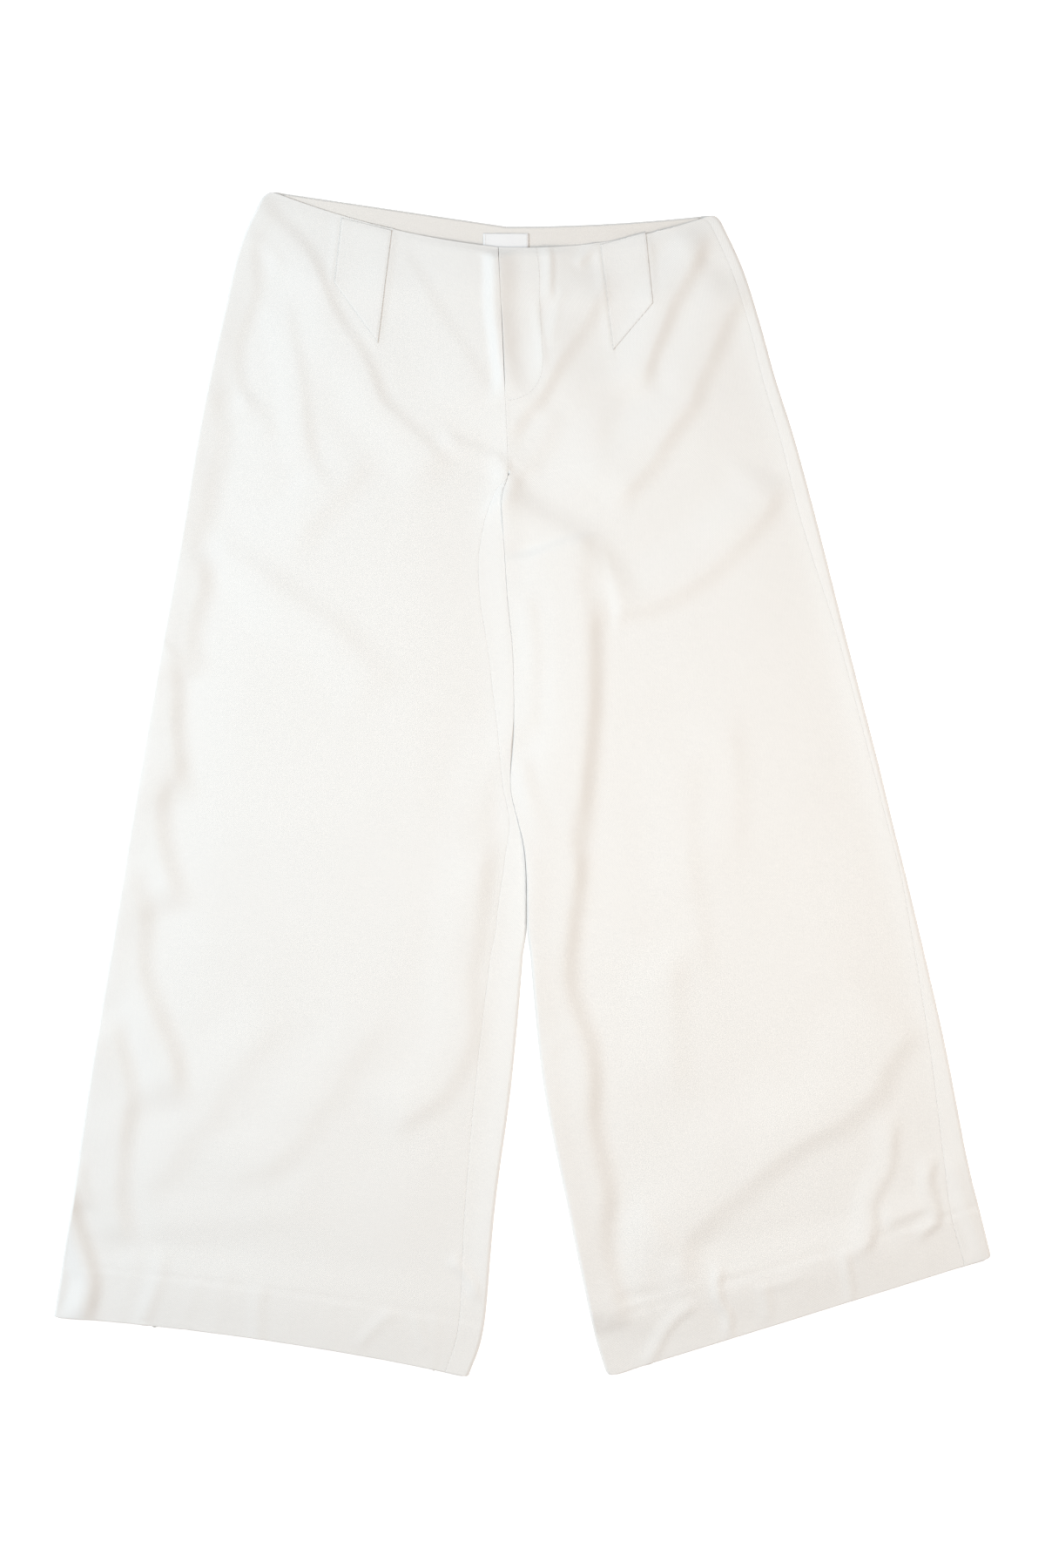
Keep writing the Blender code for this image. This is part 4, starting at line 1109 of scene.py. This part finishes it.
def bent_steel(name, size, place, folds, node):
    """A steel sheet: a flat plate whose sides are folded on by the given steps, then given its thickness.

    Each of the folds is a side, -1 for the one at low x and 1 for the other, and the steps it goes on by."""
    bpy.ops.object.select_all(action="DESELECT")
    bpy.ops.mesh.primitive_plane_add(size=1.0, location=Vector(place) * MM)
    made = bpy.context.object
    made.scale = (size[0] * MM, size[1] * MM, 1.0)
    bpy.ops.object.transform_apply(location=True, rotation=True, scale=True)
    for hand, steps in folds:
        for element in (*made.data.vertices, *made.data.edges, *made.data.polygons):
            element.select = False
        for edge in made.data.edges:
            ends = [made.data.vertices[number] for number in edge.vertices]
            if all(hand * (end.co.x / MM - place[0]) > size[0] / 2 - 0.01 for end in ends):
                edge.select = True
                for end in ends:
                    end.select = True
        bpy.ops.object.mode_set(mode="EDIT")
        bpy.ops.mesh.select_mode(type="EDGE")
        for step in steps:
            bpy.ops.mesh.extrude_region_move(TRANSFORM_OT_translate={"value": Vector(step) * MM})
        bpy.ops.object.mode_set(mode="OBJECT")
    bpy.ops.object.mode_set(mode="EDIT")
    bpy.ops.mesh.select_all(action="SELECT")
    bpy.ops.mesh.normals_make_consistent(inside=False)
    bpy.ops.object.mode_set(mode="OBJECT")
    sheet = made.modifiers.new("sheet", "SOLIDIFY")
    sheet.thickness = STEEL_SHEET * MM
    sheet.offset = 0.0
    bpy.ops.object.modifier_apply(modifier="sheet")
    edges = made.modifiers.new("edges", "BEVEL")
    edges.width = STEEL_EDGE * MM
    edges.segments = 2
    bpy.ops.object.modifier_apply(modifier="edges")
    bpy.ops.object.shade_smooth_by_angle(angle=math.radians(40))
    made.name = name
    made.data.materials.append(brushed_steel.material)
    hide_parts(node)
    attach(made, "root")
    return made


chain_top = float(underlap_level(SLIDER_Y + SLIDER_LONG / 2)) + TAPE_LEVEL + TAPE_CLOTH + TOOTH_THICK
slider_x, slider_z = float(fly_seam(SLIDER_Y)) + ZIP_OFF, chain_top + STEEL_SHEET
slider = bent_steel(
    "zip_slider",
    (SLIDER_FLAT, SLIDER_LONG),
    (slider_x, SLIDER_Y, slider_z),
    ((1, SLIDER_TURNS), (-1, tuple((-x, y, z) for x, y, z in SLIDER_TURNS))),
    "zip",
)
for vertex in slider.data.vertices:
    at_foot = min(max((SLIDER_Y - vertex.co.y / MM) / (SLIDER_LONG / 2), 0.0), 1.0)
    vertex.co.x += (slider_x * MM - vertex.co.x) * SLIDER_NARROWS * at_foot
pull_place = (slider_x + PULL_X, SLIDER_Y + PULL_Y, chain_top + 2.5 * STEEL_SHEET)
bent_steel("zip_pull", PULL, pull_place, (), "zip")
bpy.ops.mesh.primitive_torus_add(
    major_segments=20,
    minor_segments=8,
    major_radius=RING * MM,
    minor_radius=RING_WIRE * MM,
    location=Vector((slider_x, SLIDER_Y + RING_Y, slider_z + RING_OVER)) * MM,
    rotation=(math.pi / 2, 0, math.pi / 2),
)
ring = bpy.context.object
ring.name = "zip_slider_ring"
bpy.ops.object.transform_apply(location=True, rotation=True, scale=True)
bpy.ops.object.shade_smooth()
ring.data.materials.append(brushed_steel.material)
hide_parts("zip")
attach(ring, "root")

# ---- The waist hook -----------------------------------------------------------------------------------
# A flat trouser hook of steel sheet under the left front, its tongue folded back under a bar that is sewn to
# the underlap.

HOOK_X, HOOK_LEVEL = -8.4, 6.5
HOOK_PLATE = (7.2, 6.4)
HOOK_TONGUE = ((-0.4, 0, -0.15), (-0.2, 0, -0.4), (0, 0, -0.3), (0.2, 0, -0.35), (0.4, 0, -0.15), (2.6, 0, 0))
BAR, BAR_X, BAR_LEVEL = (7.2, 1.0), HOOK_X - 2.4, HOOK_LEVEL - 0.75
BAR_FOOT = ((0.3, 0, -0.15), (0.1, 0, -0.5), (0.3, 0, -0.15), (1.3, 0, 0))
bent_steel("waist_hook_plate", HOOK_PLATE, (HOOK_X, HOOK_Y, HOOK_LEVEL), ((-1, HOOK_TONGUE),), "waist_hook")
bar = bent_steel(
    "waist_hook_bar",
    BAR,
    (BAR_X, HOOK_Y, BAR_LEVEL),
    ((1, BAR_FOOT), (-1, tuple((-x, y, z) for x, y, z in BAR_FOOT))),
    "waist_hook",
)
for vertex in bar.data.vertices:  # a quarter turn, so that it stands across the tongue
    off_x, off_y = vertex.co.x - BAR_X * MM, vertex.co.y - HOOK_Y * MM
    vertex.co.x, vertex.co.y = BAR_X * MM - off_y, HOOK_Y * MM + off_x

# ---- The right and the left front ---------------------------------------------------------------------
# The right and the left front, of the same twill. They lie on the backs and meet at the fly and at the centre
# front seam. The left one's edge is folded under at the fly and laps over the right one.

FRONT_COLUMNS = 134
FRONT_PIECES = {}

for side, outward in (("right", 1.0), ("left", -1.0)):
    leg = Leg(side, back=False)
    climb = seam_climb(leg)
    outer_turn = np.full_like(leg.width, 90 - SEAM_TURNS if side == "right" else 0.0)
    inner_turn = np.maximum(90 - climb - SEAM_TURNS, 0.0) * np.minimum(leg.parted * ROLL_GROWS, 1.0)
    seam_in = leg.inner_wrap + SEAM_GAP / 2
    across, angle, way, total = wound(leg, 90.0, outer_turn, inner_turn, seam_in, FRONT_COLUMNS)
    height, lift = upper_height(leg, across)
    front = panel(f"{side}_front", leg, across, angle, way, total, height, 0.0 * height, outward)
    front.data.materials.append(cream_twill.material)
    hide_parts(f"front_{side}")
    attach(front, "root")
    FRONT_PIECES[side] = front

# ---- The fly's stitching ------------------------------------------------------------------------------
# One row of cream thread on the left front holds the fly's facing: straight down from the waist, then round
# to the seam under the zip.

FLY_STITCHING = (
    (11.5, 461.0),
    (14.3, 440.0),
    (14.5, 416.0),
    (16.3, 385.0),
    (17.3, 364.0),
    (16.3, 353.0),
    (12.5, 343.5),
    (6.5, 336.5),
    (-0.5, 332.0),
    (-8.5, 329.6),
    (-14.0, 329.2),
)
fly_line = smooth(np.array(FLY_STITCHING), np.linspace(0, len(FLY_STITCHING) - 1, 120))
sewn("fly_stitching", fly_line, FRONT_PIECES["left"])

# ---- The waist tabs -----------------------------------------------------------------------------------
# Two pointed tabs of the same cloth, sewn double and turned. Each is caught in the waist edge by its top
# and lies loose on its front, its edge away from the window standing a little off.

Tab = namedtuple("Tab", "name long_x long_y point_x point_y short_x short_y end_x end_y")
TABS = (
    Tab("right_tab", -112.5, 476.0, -124.5, 379.0, -156.0, 487.0, -162.0, 431.0),
    Tab("left_tab", 67.0, 464.0, 78.0, 373.0, 106.0, 474.5, 112.0, 413.0),
)
TAB_CLOTH, TAB_EDGE = 0.6, 2.4  # its wall, and how far in its edges are pressed thin
TAB_AIR = 0.1
TAB_STANDS, STANDS_FROM, STANDS_TOP, STANDS_LESS = 0.15, 0.55, 0.12, 0.6  # how far the loose edge stands off
TAB_SETTLES = 12  # how often the tab's lie is evened out over the cloth below it

for tab in TABS:
    down, out = np.meshgrid(np.linspace(0, 1, 60), np.linspace(0, 1, 36), indexing="ij")
    long_x = tab.long_x + (tab.point_x - tab.long_x) * down
    long_y = tab.long_y + (tab.point_y - tab.long_y) * down
    short_x = tab.short_x + (tab.end_x - tab.short_x) * down
    short_y = tab.short_y + (tab.end_y - tab.short_y) * down
    x, y = long_x + (short_x - long_x) * out, long_y + (short_y - long_y) * out
    side = tab.name.split("_")[0]
    ground = surface_height(FRONT_PIECES[side])(x, y)
    missing = np.isnan(ground)
    wanted, known = np.flatnonzero(missing.ravel()), np.flatnonzero(~missing.ravel())
    ground[missing] = np.interp(wanted, known, ground[~missing])
    level = ground.copy()
    for settling in range(TAB_SETTLES):
        padded = np.pad(level, 1, mode="edge")
        beside = padded[:-2, 1:-1] + padded[2:, 1:-1] + padded[1:-1, :-2] + padded[1:-1, 2:]
        level = np.maximum((beside + 4 * level) / 8, ground)
    loose = eased(1 - out if side == "right" else out, STANDS_FROM, 1.0) * eased(down, 0.0, STANDS_TOP)
    level = level + TAB_AIR + TAB_STANDS * loose * (1 - STANDS_LESS * down)
    if side == "right":
        x, y, level = x[:, ::-1], y[:, ::-1], level[:, ::-1]
    tab_piece = laid_cloth(tab.name, x, y, level, TAB_CLOTH, TAB_EDGE)
    tab_piece.data.materials.append(cream_twill.material)
    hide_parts(f"tab_{side}")
    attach(tab_piece, "root")
